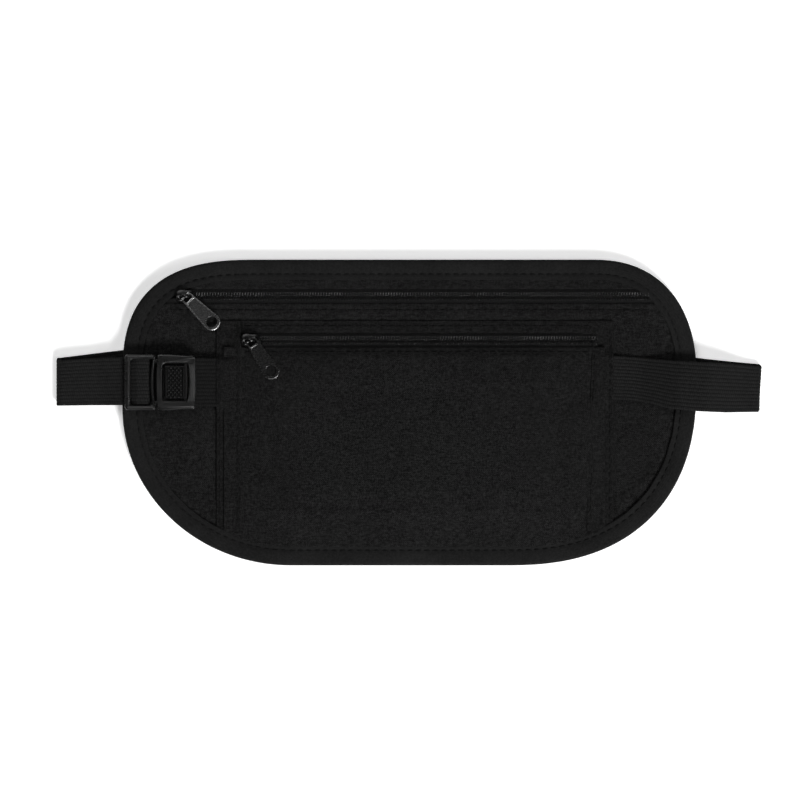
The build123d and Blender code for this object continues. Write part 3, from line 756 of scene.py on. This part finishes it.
xs = columns(*rim_ends(TOP_FACING_Y, CLOTH_INSET), 240)
top_facing_high = np.maximum(rim_y(xs, CLOTH_INSET, True), TOP_FACING_Y + 0.5)
grid = clothed(xs, TOP_FACING_Y, top_facing_high, top_facing_z, 10)
cloth("top_zip_facing", grid, TAPE_T, SHELL, "shell_fabric")
xs = np.linspace(FACING_LEFT, FACING_RIGHT + UNDER_TAPE, 180)
grid = clothed(xs, FACING_LOW_Y - 0.3, FACING_HIGH_Y - 0.6, pocket_facing_z, 16)
cloth("pocket_zip_facing", grid, TAPE_T, SHELL, "shell_fabric")


# ---- binding ----


def make_binding():
    """The binding: a tape folded round the edge, puckered by its stitches."""
    at = np.linspace(0, RIM_LENGTH, RIM_POINTS, endpoint=False)
    flat = np.r_[BINDING_W, 9.1, 8.5, 7.9, 7.5, 7.2, 6.9, 6.6, 6.3, 5.8, 5.0, 4.0, 3.0, 2.0]
    top, low = np.full(len(flat), 1.0), np.full(len(flat), -1.0)
    turn = np.linspace(math.pi / 2, -math.pi / 2, 11)
    mid_z, half = (BINDING_TOP_Z + BINDING_LOW_Z) / 2, (BINDING_TOP_Z - BINDING_LOW_Z) / 2
    fold = 1.4 - 1.4 * np.cos(turn)
    inner = half - TAPE_T
    inset = np.r_[flat, fold, flat[::-1], flat, (np.maximum(fold, 0) + TAPE_T)[::-1], flat[::-1]]
    z = mid_z + np.r_[half * np.r_[top, np.sin(turn), low], inner * np.r_[low, -np.sin(turn), top]]
    side = np.where(z > mid_z, 1.0, -1.0)
    pull = np.exp(-(((inset - STITCH_INSET) / 0.8) ** 2))
    plump = np.sin(np.clip((6.4 - inset) / 6.0, 0, 1) * math.pi)
    pucker = 0.5 + 0.5 * np.cos(math.tau * at / STITCH_PITCH)
    wave = ripples(RIM[:, 0], RIM[:, 1], 16, 7)
    lift = side * (-0.28 * pull * (0.55 + 0.45 * pucker[:, None]) + (0.22 + 0.08 * wave[:, None]) * plump)
    wander = 0.10 * ripples(RIM[:, 0], RIM[:, 1], 11, 8)
    reach = inset + wander[:, None] * smoothstep(inset, 6, 9.6)
    xy = RIM[:, None] - RIM_OUT[:, None] * reach[..., None]
    sections = np.concatenate([xy, (z + lift)[..., None]], -1)
    binding = Shape().add(*swept(sections, around=True), strip_uv(at, sections))
    binding.piece("edge_binding_tape", BINDING, "binding_tape", node="edge_binding")


make_binding()
seam = RIM - RIM_OUT * STITCH_INSET
seam = np.r_[seam, seam[:1]]
above, below = (np.c_[seam, np.full(len(seam), z)] for z in (BINDING_TOP_Z - 0.2, BINDING_LOW_Z + 0.2))
thread = thread_run(Shape(), above)
thread_run(thread, below, up=-UP, phase=0.8)
thread.piece("binding_stitches", THREAD, "binding_tape")


# ---- pocket side tapes ----


def side_tape(side):
    """Cover tape down one side of the pocket; the right-hand one leans a little."""
    name = "pocket_side_tape_" + ("left" if side < 0 else "right")
    low, high = cad(name)
    ys = np.linspace(rim_y((low[0] + high[0]) / 2, CLOTH_INSET, False), high[1], 150)
    if side < 0:
        inner, outer = np.full(len(ys), high[0]), np.full(len(ys), low[0] + 0.35)
    else:
        inner = 82.0 + 2.6 * (ys + 57) / 94 + 0.2 * ripples(ys, 0 * ys, 30, 2)
        outer = np.full(len(ys), high[0])
    share = np.linspace(0, 1, 26)
    x = inner[:, None] + (outer - inner)[:, None] * share
    y = np.repeat(ys[:, None], len(share), 1)
    z = tape_z(x, y)
    for seam in SEAM_SHARES:
        pucker = 0.6 + 0.4 * np.cos(math.tau * y / STITCH_PITCH)
        z = z - 0.2 * pucker * np.exp(-(((share - seam) / 0.06) ** 2))
    z += 0.12 * np.sin(share * math.pi) + 0.05 * ripples(x, y, 10, 4)
    grid = np.stack([x, y, z], -1)
    cloth(name, grid, TAPE_T, TAPE_CLOTH, "binding_tape", ys)
    rows = Shape()
    for seam in SEAM_SHARES:
        thread_run(rows, grid[6:-3, int(round(seam * (len(share) - 1)))])
    rows.piece(name + "_stitches", THREAD, "binding_tape")


side_tape(-1)
side_tape(1)


# ---- zips ----


def zip_tape(node, ends, low, high, height, rows=8, to_rim=False):
    xs = np.linspace(*ends, 200)
    grid = clothed(xs, low, np.maximum(high, low + 0.3), height, rows)
    if to_rim:
        share = (grid[..., 0] - ends[0]) / (ends[1] - ends[0])
        left, right = rim_ends(grid[..., 1], CLOTH_INSET)
        grid[..., 0] = left + (right - left) * share
    cloth(node, grid, TAPE_T, ZIP_TAPE, "zip_tape", xs)


def top_tape_z(x, y):
    return TOP_TAPE_TOP_Z + 0 * y


def lower_pocket_tape_z(x, y):
    """The tape rises to the underside of the panel's fold."""
    fold = pocket_z(x, POCKET_FOLD_Y + 0 * y) - PANEL_T - 0.1
    near = 1 - smoothstep(y, POCKET_FOLD_Y, POCKET_FOLD_Y + 1.5)
    return POCKET_TAPE_TOP_Z + (fold - POCKET_TAPE_TOP_Z) * near


def upper_pocket_tape_z(x, y):
    """The tape sinks under the facing."""
    past = y - FACING_LOW_Y
    sunk = 0.5 * smoothstep(past, -1.7, -0.3) + 0.6 * smoothstep(past, 0.6, 4)
    return cad("pocket_zip_tape_upper")[1][2] - sunk


ends = rim_ends(TOP_ZIP_Y, CLOTH_INSET)
low, high = cad("top_zip_tape_lower")
zip_tape("top_zip_tape_lower", ends, low[1], high[1], top_tape_z, to_rim=True)
edge = rim_y(np.linspace(*ends, 200), CLOTH_INSET, True)
zip_tape("top_zip_tape_upper", ends, cad("top_zip_tape_upper")[0][1], edge, top_tape_z)
for side, height, rows in (("lower", lower_pocket_tape_z, 22), ("upper", upper_pocket_tape_z, 14)):
    low, high = cad("pocket_zip_tape_" + side)
    zip_tape("pocket_zip_tape_" + side, (low[0], high[0] + UNDER_TAPE), low[1], high[1], height, rows)

COIL_PITCH = 1.25
COIL_WIRE_R = 0.24
COIL_TURN_POINTS = 14
COIL_LOCK = 0.32  # how far one row's heads reach in between the other's


def coil(node, upper, extra):
    """One row of coil: a wire wound flat, whose heads lock with the other row's."""
    low, high = cad(node)
    high[0] += extra
    high[2] -= 0.4
    turns = int((high[0] - low[0]) / COIL_PITCH)
    t = np.linspace(0, turns, turns * COIL_TURN_POINTS + 1)
    mid_z, half_z = (low[2] + high[2]) / 2, (high[2] - low[2]) / 2 - COIL_WIRE_R
    side = 1 if upper else -1
    outer = high[1] if upper else low[1]
    inner = (low[1] if upper else high[1]) - side * COIL_LOCK
    mid_y, half_y = (outer + inner) / 2, (inner - outer) / 2 + side * COIL_WIRE_R

    def flattened(value):
        return np.sign(value) * np.abs(value) ** 0.75

    x = low[0] + 0.3 + t * COIL_PITCH + (COIL_PITCH / 2 if upper else 0)
    across, rise = flattened(np.cos(t * math.tau)), flattened(np.sin(t * math.tau))
    line = np.c_[x, mid_y + half_y * across, mid_z + half_z * rise]
    line = line[x < high[0]]
    # Texture places for the coil's painted glint: height on the wire, and share across the upper row from
    # its heads; the lower row gets -1 and no glint.
    share = (line[:, 1] - inner) / (outer - inner) if upper else np.full(len(line), -1.0)
    uv = np.stack([(line[:, 2] - mid_z) / half_z, share], -1)[:, None] + np.zeros((6, 2))
    wire = Shape().add(*tube(line, COIL_WIRE_R, np.array([1.0, 0, 0]), 6), uv)
    wire.piece(node + "_wire", COIL, "zip_coil", node=node)


to_rim = rim_x(TOP_ZIP_Y, BINDING_W - 1.0, True)
for side, upper in (("lower", False), ("upper", True)):
    coil("pocket_zip_coil_" + side, upper, UNDER_TAPE)
    coil("top_zip_coil_" + side, upper, to_rim - cad("top_zip_coil_" + side)[1][0])

rows = Shape()
for name, y, tape_top in (("top", TOP_ZIP_Y, TOP_TAPE_TOP_Z), ("pocket", POCKET_ZIP_Y, POCKET_TAPE_TOP_Z)):
    low, high = cad(name + "_zip_coil_lower")
    for side in (-1, 1):
        line = [(x, y + side * 1.95, tape_top + 0.9) for x in (low[0] + 0.5, high[0] - 0.5)]
        thread_run(rows, line, lift=0.02, pitch=COIL_PITCH * 2, length=2.0)
rows.piece("zip_sewing", THREAD, "zip_coil")

hems = Shape()
y = TOP_FOLD_Y - TOP_HEM
thread_run(hems, [(x, y, FOLD_Z + PANEL_T - TAPE_T - 0.35) for x in np.linspace(-108, 111, 60)])
y = POCKET_FOLD_Y - POCKET_HEM
thread_run(hems, [(x, y, pocket_z(x, y) - 0.15) for x in np.linspace(-77, 83, 90)])
y = np.array(FACING_SEAM_Y)
thread_run(hems, [(x, y, pocket_facing_z(x, y)) for x in np.linspace(-77, 84, 90)])
hems.piece("hem_stitches", THREAD, "shell_fabric")


# ---- sliders and pull tabs ----

# sections of the slider's two plates, its cap and its arch's feet: scale of the outline, and height
SLIDER_SOLE = (
    (0.02, 0.0), (0.9, 0.0), (0.97, 0.08), (1.0, 0.25), (1.0, 0.5), (0.97, 0.62), (0.9, 0.7), (0.02, 0.7),
)
SLIDER_ROOF = (
    (0.02, -0.7), (0.80, -0.7), (0.82, -1.15), (0.97, -1.2), (1.0, -1.05), (1.0, -0.55), (0.96, -0.25),
    (0.86, -0.04), (0.6, 0.0), (0.3, 0.12), (0.02, 0.15),
)
SLIDER_CAP = (1.0, -0.2), (1.0, 0.4), (0.88, 0.7), (0.7, 0.8), (0.52, 0.7), (0.4, 0.5), (0.02, 0.45)
SLIDER_FOOT = (1.0, -0.3), (1.0, 0.0), (0.85, 0.2), (0.5, 0.38), (0.02, 0.4)
SLIDER_SQUARENESS = 2 / 3.2
ARCH_R = 1.9
ARCH_WIDENING = 2.1  # of the arch's wire, across the zip
ARCH_TOP = 3.2  # from the top of the upper plate to the top of the arch


def slider(zip_name):
    """Slider body: lower plate, domed upper plate with flanges, wedge, and the arch that holds the tab."""
    node = zip_name + "_slider"
    low, high = cad(node)
    mid_x, mid_y = (low[0] + high[0]) / 2, (low[1] + high[1]) / 2
    half_l, half_w = (high[0] - low[0]) / 2, (high[1] - low[1]) / 2
    turn = np.linspace(0, math.tau, 72, endpoint=False)
    x, y = (np.sign(v) * np.abs(v) ** SLIDER_SQUARENESS for v in (np.cos(turn), np.sin(turn)))
    taper = 1 - 0.09 * (x + 1) / 2 - 0.10 * np.exp(-((x - 0.15) / 0.35) ** 2)
    loop = np.c_[mid_x + half_l * x, mid_y + half_w * y * taper]
    body = Shape()
    roof = high[2] - ARCH_TOP

    def raised(levels, base):
        return [(scale, base + z) for scale, z in levels]

    dome(body, loop, raised(SLIDER_SOLE, low[2]))
    dome(body, loop, raised(SLIDER_ROOF, roof))
    wedge = (mid_x - 2.3, mid_x - 0.7), (mid_y - 0.7, mid_y + 0.7), (low[2] + 0.3, roof - 0.5)
    box(body, *wedge, 0.15, 0.6)
    turn = np.linspace(math.pi, 0, 25)
    arch = np.c_[mid_x + ARCH_R * np.cos(turn), np.full(25, mid_y), high[2] - 2.3 + ARCH_R * np.sin(turn)]
    ends = [[(mid_x + side * ARCH_R, mid_y, roof - 0.4)] for side in (-1, 1)]
    band, faces = tube(np.concatenate([ends[0], arch, ends[1]]), 0.4, np.array([0, 1.0, 0]), 12)
    band[..., 1] = mid_y + (band[..., 1] - mid_y) * ARCH_WIDENING
    body.add(band, faces)
    for side in (-1, 1):
        dome(body, circle((mid_x + side * ARCH_R, mid_y), 0.85, 20), raised(SLIDER_FOOT, roof))
    dome(body, circle((mid_x - 2.7, mid_y - 1.0), 1.6, 24), raised(SLIDER_CAP, roof))
    moved_by = zip_name.replace("_zip", "_slider")
    body.piece(node + "_body", SLIDER_METAL, "zip_metal", body=moved_by, node=node, crisp=True)


TAB_L = 21.5
TAB_EYE_BAR = 0.8
TAB_EYE = (3.9, 2.3)  # width and length of the eye
TAB_WIDTHS = (2.6, 4.0)  # half widths at the neck and at the end
TAB_HOLE_R = 2.55
TAB_RIM = 0.66


def tab_outline(inset=0.0, start=-TAB_EYE_BAR / 2):
    """The tab's tapered outline, moved in and cut off at start."""
    neck, end = TAB_WIDTHS
    centre = TAB_L - TAB_EYE_BAR / 2 - end
    lean = math.asin((end - neck) / (centre - start))
    turn = np.linspace(-math.pi / 2 - lean, math.pi / 2 + lean, 33)
    tip = np.c_[centre + (end - inset) * np.cos(turn), (end - inset) * np.sin(turn)]
    at_start = tip[-1, 1] - (tip[-1, 0] - start - 0.6) * math.tan(lean)
    side = tip[-1] + (np.array([start + 0.6, at_start]) - tip[-1]) * np.linspace(0, 1, 22)[1:, None]
    turn = np.linspace(math.pi / 2, math.pi, 6)[1:]
    corner = np.c_[start + 0.6 + 0.6 * np.cos(turn), at_start - 0.6 + 0.6 * np.sin(turn)]
    upper = np.concatenate([side, corner])
    return np.concatenate([tip, upper, upper[::-1] * (1, -1)]), centre


def pull_tab(zip_name, pitch_deg, roll_deg):
    """Pull tab: a recessed plate with a raised rim, an eye and a round hole, lying a little askew."""
    node = zip_name + "_pull_tab"
    (tab_low, tab_high), (low, high) = cad(node), cad(zip_name + "_slider")
    mid_z, half = (tab_low[2] + tab_high[2]) / 2, (tab_high[2] - tab_low[2]) / 2
    outline, centre = tab_outline()
    eye_low = TAB_EYE_BAR / 2
    eye = rounded_loop((eye_low, eye_low + TAB_EYE[1]), (-TAB_EYE[0] / 2, TAB_EYE[0] / 2), 0.5)
    well, _ = tab_outline(TAB_RIM, eye_low + TAB_EYE[1] + 0.9)
    tab = Shape()
    plate(tab, outline, [eye, circle((centre, 0), TAB_HOLE_R)], -half * 0.5, half * 0.5, 0.1)
    recessed = len(tab.uv)
    plate(tab, outline, [well, eye], -half, half, 0.3)
    # Texture v is 1 on the rimmed plate, where the tab's metal paints a highlight on the rim, and 0 on the
    # recessed face.
    tab.uv = [uv * 0 + (i >= recessed) for i, uv in enumerate(tab.uv)]
    flip = zip_name.replace("_zip", "_pull_flip")
    hinge = next(joint for joint in frame["joints"] if joint["name"] == flip)
    aim = math.atan2(hinge["axis"][0], -hinge["axis"][1])
    turn = Matrix.Rotation(aim, 4, "Z") @ Matrix.Rotation(math.radians(pitch_deg), 4, "Y")
    turn = turn @ Matrix.Rotation(math.radians(roll_deg), 4, "X")
    tab.move(Matrix.Translation(((low[0] + high[0]) / 2, (low[1] + high[1]) / 2, mid_z)) @ turn)
    moved_by = zip_name.replace("_zip", "_pull")
    tab.piece(node + "_plate", TAB_METAL[zip_name], "zip_metal", body=moved_by, node=node, crisp=True)


slider("top_zip")
slider("pocket_zip")
pull_tab("top_zip", 4.5, -3)
pull_tab("pocket_zip", 1.5, 6)


# ---- strap ----

RIB_POINTS = 6
RIGHT_LEAN = math.radians(4.2)


def rounded_path(points, radii, step=2.2):
    """A path in the XZ plane with rounded corners."""
    points = [np.array(p, float) for p in points]
    path = [points[0]]
    for before, corner, after, radius in zip(points, points[1:], points[2:], radii):
        back, ahead = unit(before - corner), unit(after - corner)
        half = math.acos(float(np.clip(back @ ahead, -1, 1))) / 2
        reach = radius / math.tan(half)
        centre = corner + unit(back + ahead) * radius / math.sin(half)
        start, end = corner + back * reach - centre, corner + ahead * reach - centre
        first = math.atan2(start[1], start[0])
        sweep = (math.atan2(end[1], end[0]) - first + math.pi) % math.tau - math.pi
        turns = np.linspace(0, sweep, max(3, int(abs(sweep) / 0.16)))
        path += [centre + radius * np.array([math.cos(first + t), math.sin(first + t)]) for t in turns]
    path.append(points[-1])
    path = np.array(path)
    dense = [path[:1]]
    for a, b in zip(path, path[1:]):
        count = max(1, int(np.linalg.norm(b - a) / step))
        dense.append(a + (b - a) * (np.arange(1, count + 1) / count)[:, None])
    path = np.concatenate(dense)
    return path[np.r_[True, np.linalg.norm(np.diff(path, axis=0), axis=1) > 0.02]]


def webbing(path, middle_y, lean, width=STRAP_W, roll=0.0):
    """A ribbed strap along a path in XZ, given its middle, lean, width and roll at each point."""
    across = np.linspace(-1, 1, RIBS * RIB_POINTS + 1)
    rib = np.abs(np.sin(math.pi * RIBS * (across + 1) / 2)) ** 0.7
    height = STRAP_T / 2 * np.where(np.abs(across) > 0.999, 0.5, 0.84 + 0.2 * rib)
    u = np.r_[across, across[::-1]] * np.broadcast_to(width, len(path))[:, None] / 2
    h = np.r_[height, -height]
    along = unit(np.gradient(path, axis=0))
    normal = np.c_[-along[:, 1], along[:, 0]]
    reach = np.r_[0, np.cumsum(np.linalg.norm(np.diff(path, axis=0), axis=1))]
    middle_y, lean, roll = (np.broadcast_to(value, len(path))[:, None] for value in (middle_y, lean, roll))
    x = path[:, :1] + normal[:, :1] * h + np.sin(lean) * u
    z = path[:, 1:] + normal[:, 1:] * h + np.sin(roll) * u
    y = middle_y + np.cos(lean) * u + 0 * z
    v = (np.r_[across, across[::-1]] + 1) * STRAP_W / 2 + np.where(h < 0, 24 * RIB_PITCH, 0)
    uv = np.stack(np.broadcast_arrays(reach[:, None], v), -1)
    return Shape().add(*swept(np.stack([x, y, z], -1)), uv)


def eased(x, start, end):
    """Height at x of a smooth curve between two (x, height, slope) ends."""
    (x0, y0, m0), (x1, y1, m1) = start, end
    t = np.clip((x - x0) / (x1 - x0), 0, 1)
    rise, run = y1 - y0, x1 - x0
    return y0 + rise * t + t * (1 - t) * ((m0 * run - rise) * (1 - t) + (rise - m1 * run) * t)


# middle of the strap behind the pouch: x, y and slope at its loops and its peak
LEFT_LOOP = (-160.7, 14.6, 0.128)
PEAK = (0.0, 27.5, 0.0)
RIGHT_LOOP = (160.3, 11.8, -0.080)
STRAP_SPLIT_X = -20.0
right_end, left_end = cad("strap")[1][0], cad("strap_adjuster_end")[0][0]


def back_middle(x):
    """Middle of the strap behind the pouch: it rises, bowed, towards the pouch's middle."""
    return np.where(x < 0, eased(x, LEFT_LOOP, PEAK), eased(x, PEAK, RIGHT_LOOP))


def back_lean(x):
    return -np.arctan(back_middle(x + 0.5) - back_middle(x - 0.5))


def folded(path, front, stations, middles, widths, rolls, front_lean=0.0):
    """A strap laid by the numbers at each station where front is 1, else behind the pouch."""
    x, behind = path[:, 0], 1 - front
    middle = front * np.interp(x, stations, middles) + behind * back_middle(x)
    width = front * np.interp(x, stations, widths) + behind * STRAP_W
    lean = front * front_lean + behind * back_lean(x)
    return webbing(path, middle, lean, width, front * np.interp(x, stations, np.radians(rolls)))


half = STRAP_T / 2
over_rim = BINDING_TOP_Z + 0.1 + half
fold_x = right_end - half - 1.0
laid = [(91.95, 6.0), (107, 6.6), (125, 11.5), (138, 11.3), (154, 4.6), (fold_x, 3.0)]
path = rounded_path(laid + [(fold_x, half), (STRAP_SPLIT_X, half)], [12, 12, 12, 12, 1.1, 1.1])
front = smoothstep(path[:, 1], 0.7, 2.7)
front[path[:, 0] < 90] = 0
stations = [92, 104, 113, 121, 133, 147, 158, 163]
middles = [16.3, 15.7, 14.4, 13.0, 12.0, 11.3, 10.9, 10.8]
widths = [20.4, 20.2, 21.0, 22.5, 22.8, 22.6, 21.4, 21.2]
strap = folded(path, front, stations, middles, widths, [0, -7, -8, -8, -4, 0, 0, 0], RIGHT_LEAN)
strap.piece("strap_webbing", ELASTIC, "elastic_strap", node="strap")

outer_x = left_end + half
inner_x = outer_x + STRAP_T + 0.1
bar_x = -120.2  # where the webbing turns round the plug's bar
tail_z = STRAP_T + 0.1 + half
laid = [(-15, tail_z), (inner_x, tail_z), (inner_x, 3.9), (-143, 4.7), (-132.5, over_rim)]
laid += [(bar_x, over_rim), (bar_x, 10.1), (-125.6, 10.1), (-128.4, 8.4), (-133, 8.4), (-143, 6.05)]
radii = [0.95, 0.95, 8, 8, 1.4, 1.4, 1.3, 1.3, 6, 8, 2.2, 2.2]
path = rounded_path(laid + [(outer_x, 5.2), (outer_x, half), (STRAP_SPLIT_X, half)], radii)
front = smoothstep(path[:, 1], tail_z + 0.1, 3.4)
stations = [-162, -158, -150, -140, -134, -133]
middles = np.interp(stations, [-162, -150, -134], BUCKLE_Y + np.array([-0.4, 0.1, 0.5]))
widths = np.interp(stations, [-162, -150, -134], [20.9, 21.6, 22.2])
rolls = np.interp(stations, [-162, -158, -140, -133], [0, 5, 5, 0])
strap_end = folded(path, front, stations, middles, widths, rolls)
strap_end = strap_end.piece("strap_end_webbing", ELASTIC, "elastic_strap", None, "strap_adjuster_end")
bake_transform(strap_end)

sewn_x = cad("buckle_anchor_webbing")[1][0]
laid = [(sewn_x, 6.0), (-94.5, 6.0), (-96.5, 7.25), (-101.25, 7.25), (-101.25, 10.05), (-99.0, 10.05)]
path = rounded_path(laid + [(-96.9, 7.25), (sewn_x, 7.25)], [1.5, 1.5, 1.38, 1.38, 1.0, 1.0], 0.8)
anchor = webbing(path, BUCKLE_Y, 0.0, 22.6)
# Its elastic is painted darker than the strap's: painted shade beside the socket.
anchor.piece("anchor_webbing", ANCHOR_WEBBING_SHADED, "elastic_strap", node="buckle_anchor_webbing")


# ---- buckle ----


BUCKLE_HALF = 12.9  # half its size across the strap
SOCKET_BOW = 0.6
SOCKET_TAPER = 0.8
PLUG_BOW = 1.1


def across(half_width):
    return (BUCKLE_Y - half_width, BUCKLE_Y + half_width)


def beside(side, inner, outer):
    """The span from inner to outer, off the buckle's middle towards one side."""
    return sorted((BUCKLE_Y + side * inner, BUCKLE_Y + side * outer))


def rod(x, half_width, z):
    """Points of a straight line across the strap."""
    return np.c_[np.full(30, x), np.linspace(*across(half_width), 30), np.full(30, z)]


def ridge(shape, line, half_width, height):
    """Adds a half-round ridge along a line of points on a flat face."""
    line = np.asarray(line, float)
    points, faces = tube(line, 1.0, UP, 16)
    centred = points - line[:, None]
    shape.add(line[:, None] + centred * np.array([half_width, half_width, height]), faces)


def buckle_socket():
    (left, _, base), (right, _, top) = cad("buckle_socket")
    left -= 0.3
    shell = Shape()
    span = (left + SOCKET_BOW, right - 0.1)
    loop = rounded_loop(span, across(BUCKLE_HALF), 1.3, (SOCKET_BOW, 0.4))
    narrow = 1 - SOCKET_TAPER / BUCKLE_HALF * smoothstep(loop[:, 0], left + 4, right)
    loop[:, 1] = BUCKLE_Y + (loop[:, 1] - BUCKLE_Y) * narrow
    window = rounded_loop((-113.8, -102.2), across(8.7), 1.4, (0.3, 0.6))
    plate(shell, loop, [window], top - 1.7, top - 0.4, 0.55)
    floor = (span[0], right - 0.8), across(BUCKLE_HALF - 1.0), (base, base + 1.2)
    box(shell, *floor, 0.35, 1.0, (SOCKET_BOW * 0.8, 0))
    for side in (-1, 1):
        wall = beside(side, 10.9, BUCKLE_HALF - 0.45)
        box(shell, (span[0] + 0.1, right - 0.5), wall, (base + 0.05, top - 0.9), 0.4, 0.8)
    crest = -101.9  # the end bar's raised inner edge; the bar slopes down from it to the socket's end
    for points in shell.points:
        on_top = points[:, 2] > base + 3
        past = points[:, 0] - crest
        lift = 0.38 * smoothstep(past, -1.8, 0) - 0.37 * np.maximum(past, 0)
        inner = 1 - smoothstep(np.abs(points[:, 1] - BUCKLE_Y), 9.5, 12.0)
        points[:, 2] += np.where(on_top, lift * inner, 0)
    shell.add(*tube(rod(-99.9, 11.6, 8.65), 0.72, UP, 16))
    shell.piece("buckle_socket_shell", PLASTIC, "buckle_plastic", node="buckle_socket", crisp=True)


def buckle_plug():
    (left, _, base), (_, _, top) = cad("buckle_plug_frame")
    right = -116.9  # of the frame; the arms go on into the socket
    face = top - 0.5
    bowed = (0.0, -PLUG_BOW)
    plug = Shape()
    slot = rounded_loop((left + 2.7, right - 1.5), across(10.6), 1.0, bowed)
    outline = rounded_loop((left, right), across(BUCKLE_HALF), 1.9, bowed)
    plate(plug, outline, [slot], top - 1.5, top - 0.35, 0.55)
    for side in (-1, 1):
        wall = beside(side, 10.7, BUCKLE_HALF - 0.05)
        box(plug, (left + 0.3, right - 0.3), wall, (base, top - 0.7), 0.5, 0.9)
        box(plug, (right - 0.9, -102.4), beside(side, 8.6, 10.6), (8.4, 10.6), 0.4, 0.9)
        rail_y = BUCKLE_Y + side * 11.75
        ridge(plug, np.linspace((left + 1.4, rail_y, face), (right - 1.2, rail_y, face), 20), 0.85, 0.5)
    line = rod(left + 1.3, BUCKLE_HALF - 1.6, face)
    ridge(plug, line, 0.95, 0.5)
    line[:, 0] = right - 0.75 - PLUG_BOW * (1 - ((line[:, 1] - BUCKLE_Y) / BUCKLE_HALF) ** 2)
    ridge(plug, line, 0.5, 0.4)
    box(plug, (right - 1.5, right - 0.2), across(11.5), (base, top - 0.7), 0.3, 0.5, bowed)
    box(plug, (-104.0, -102.4), across(10.5), (8.4, 10.6), 0.4, 0.6)
    for x in (-124.65, -123.75, -122.85):
        plug.add(*tube(rod(x, 11.6, base + 0.75), 0.72, UP, 14))
    plug.piece("buckle_plug_body", PLASTIC, "buckle_plastic", "buckle_plug", "buckle_plug_frame", True)


def buckle_pad():
    (left, _, base), (right, _, top) = cad("buckle_press_pad")
    left, right = left + 0.2, right + 0.9
    half_h, face = 7.5, top - 0.5
    dome_levels = [(1.0, top - 0.6), (0.92, top - 0.42), (0.5, top - 0.12), (0.02, top - 0.08)]
    pad = Shape()
    box(pad, (left, right), across(half_h), (base, face), 0.3, 0.7)
    low, high = across(half_h - 0.9)
    for x in (left + 0.75, right - 0.95):
        ridge(pad, np.linspace((x, low, face), (x, high, face), 20), 0.55, 0.4)
    for i in range(-3, 4):
        for j in range(-6, 7):
            if (i + j) % 2 == 0:
                x, y = (left + right) / 2 - 0.1 + 0.92 * i, BUCKLE_Y + 1.12 * j
                diamond = np.array([(x + 0.84, y), (x, y + 1.02), (x - 0.84, y), (x, y - 1.02)])
                dome(pad, diamond, dome_levels)
    pad.piece("buckle_press_pad_body", PAD_PLASTIC, "buckle_plastic", "press_pad", "buckle_press_pad", True)


buckle_socket()
buckle_plug()
buckle_pad()


# ---- floor, lights and camera ----


def make_floor():
    n = Nodes("floor", 0.9, 0.1, Emission_Color=(1, 1, 1, 1), Emission_Strength=0.38)
    speckle = n.noise(n.place(), 0.01, 2.0)
    paper = n.finish(n.ramp(speckle, 0.3, 0.7, 0.93, 0.95), speckle, 0.01, 0.1)
    corners = np.array([(-4000, -4000, -0.2), (4000, -4000, -0.2), (4000, 4000, -0.2), (-4000, 4000, -0.2)])
    mesh = bpy.data.meshes.new("floor")
    mesh.from_pydata((corners * MM).tolist(), [], [[0, 1, 2, 3]])
    mesh.materials.append(paper)
    obj = placed("floor", mesh)


def area_light(name, azimuth_deg, elevation_deg, distance, size, watts):
    azimuth, elevation = math.radians(azimuth_deg), math.radians(elevation_deg)
    level = math.cos(elevation)
    away = Vector((level * math.cos(azimuth), level * math.sin(azimuth), math.sin(elevation)))
    data = bpy.data.lights.new(name, "AREA")
    data.shape, data.size, data.energy = "DISK", size, watts
    light = placed(name, data)
    light.location = away * distance
    light.rotation_euler = away.to_track_quat("Z", "Y").to_euler()


make_floor()
area_light("key", -61, 41, 3.0, 1.1, 120)
area_light("fill", 120, 58, 2.6, 1.6, 26)
area_light("side", -10, 44, 2.6, 0.5, 9)
area_light("high", -44, 80, 2.6, 0.4, 0.42)


world = bpy.data.worlds.new("studio")  # pale towards the horizon and dim overhead
scene.world = world
tree = Tree(world, "Background")
height = tree.add("SeparateXYZ", tree.add("TexCoord"), out=2)
fade = tree.add("MapRange", height, 0.25, 0.85, 0.95, 0.14, interpolation_type="SMOOTHSTEP")
tree.set(tree.shader, [("Strength", fade)])

camera_data = bpy.data.cameras.new("camera")
camera_data.lens = 250
camera_data.sensor_width = 36
camera = placed("camera", camera_data)
camera.location = (-0.0044, 0.0058, 2.5725)
scene.camera = camera
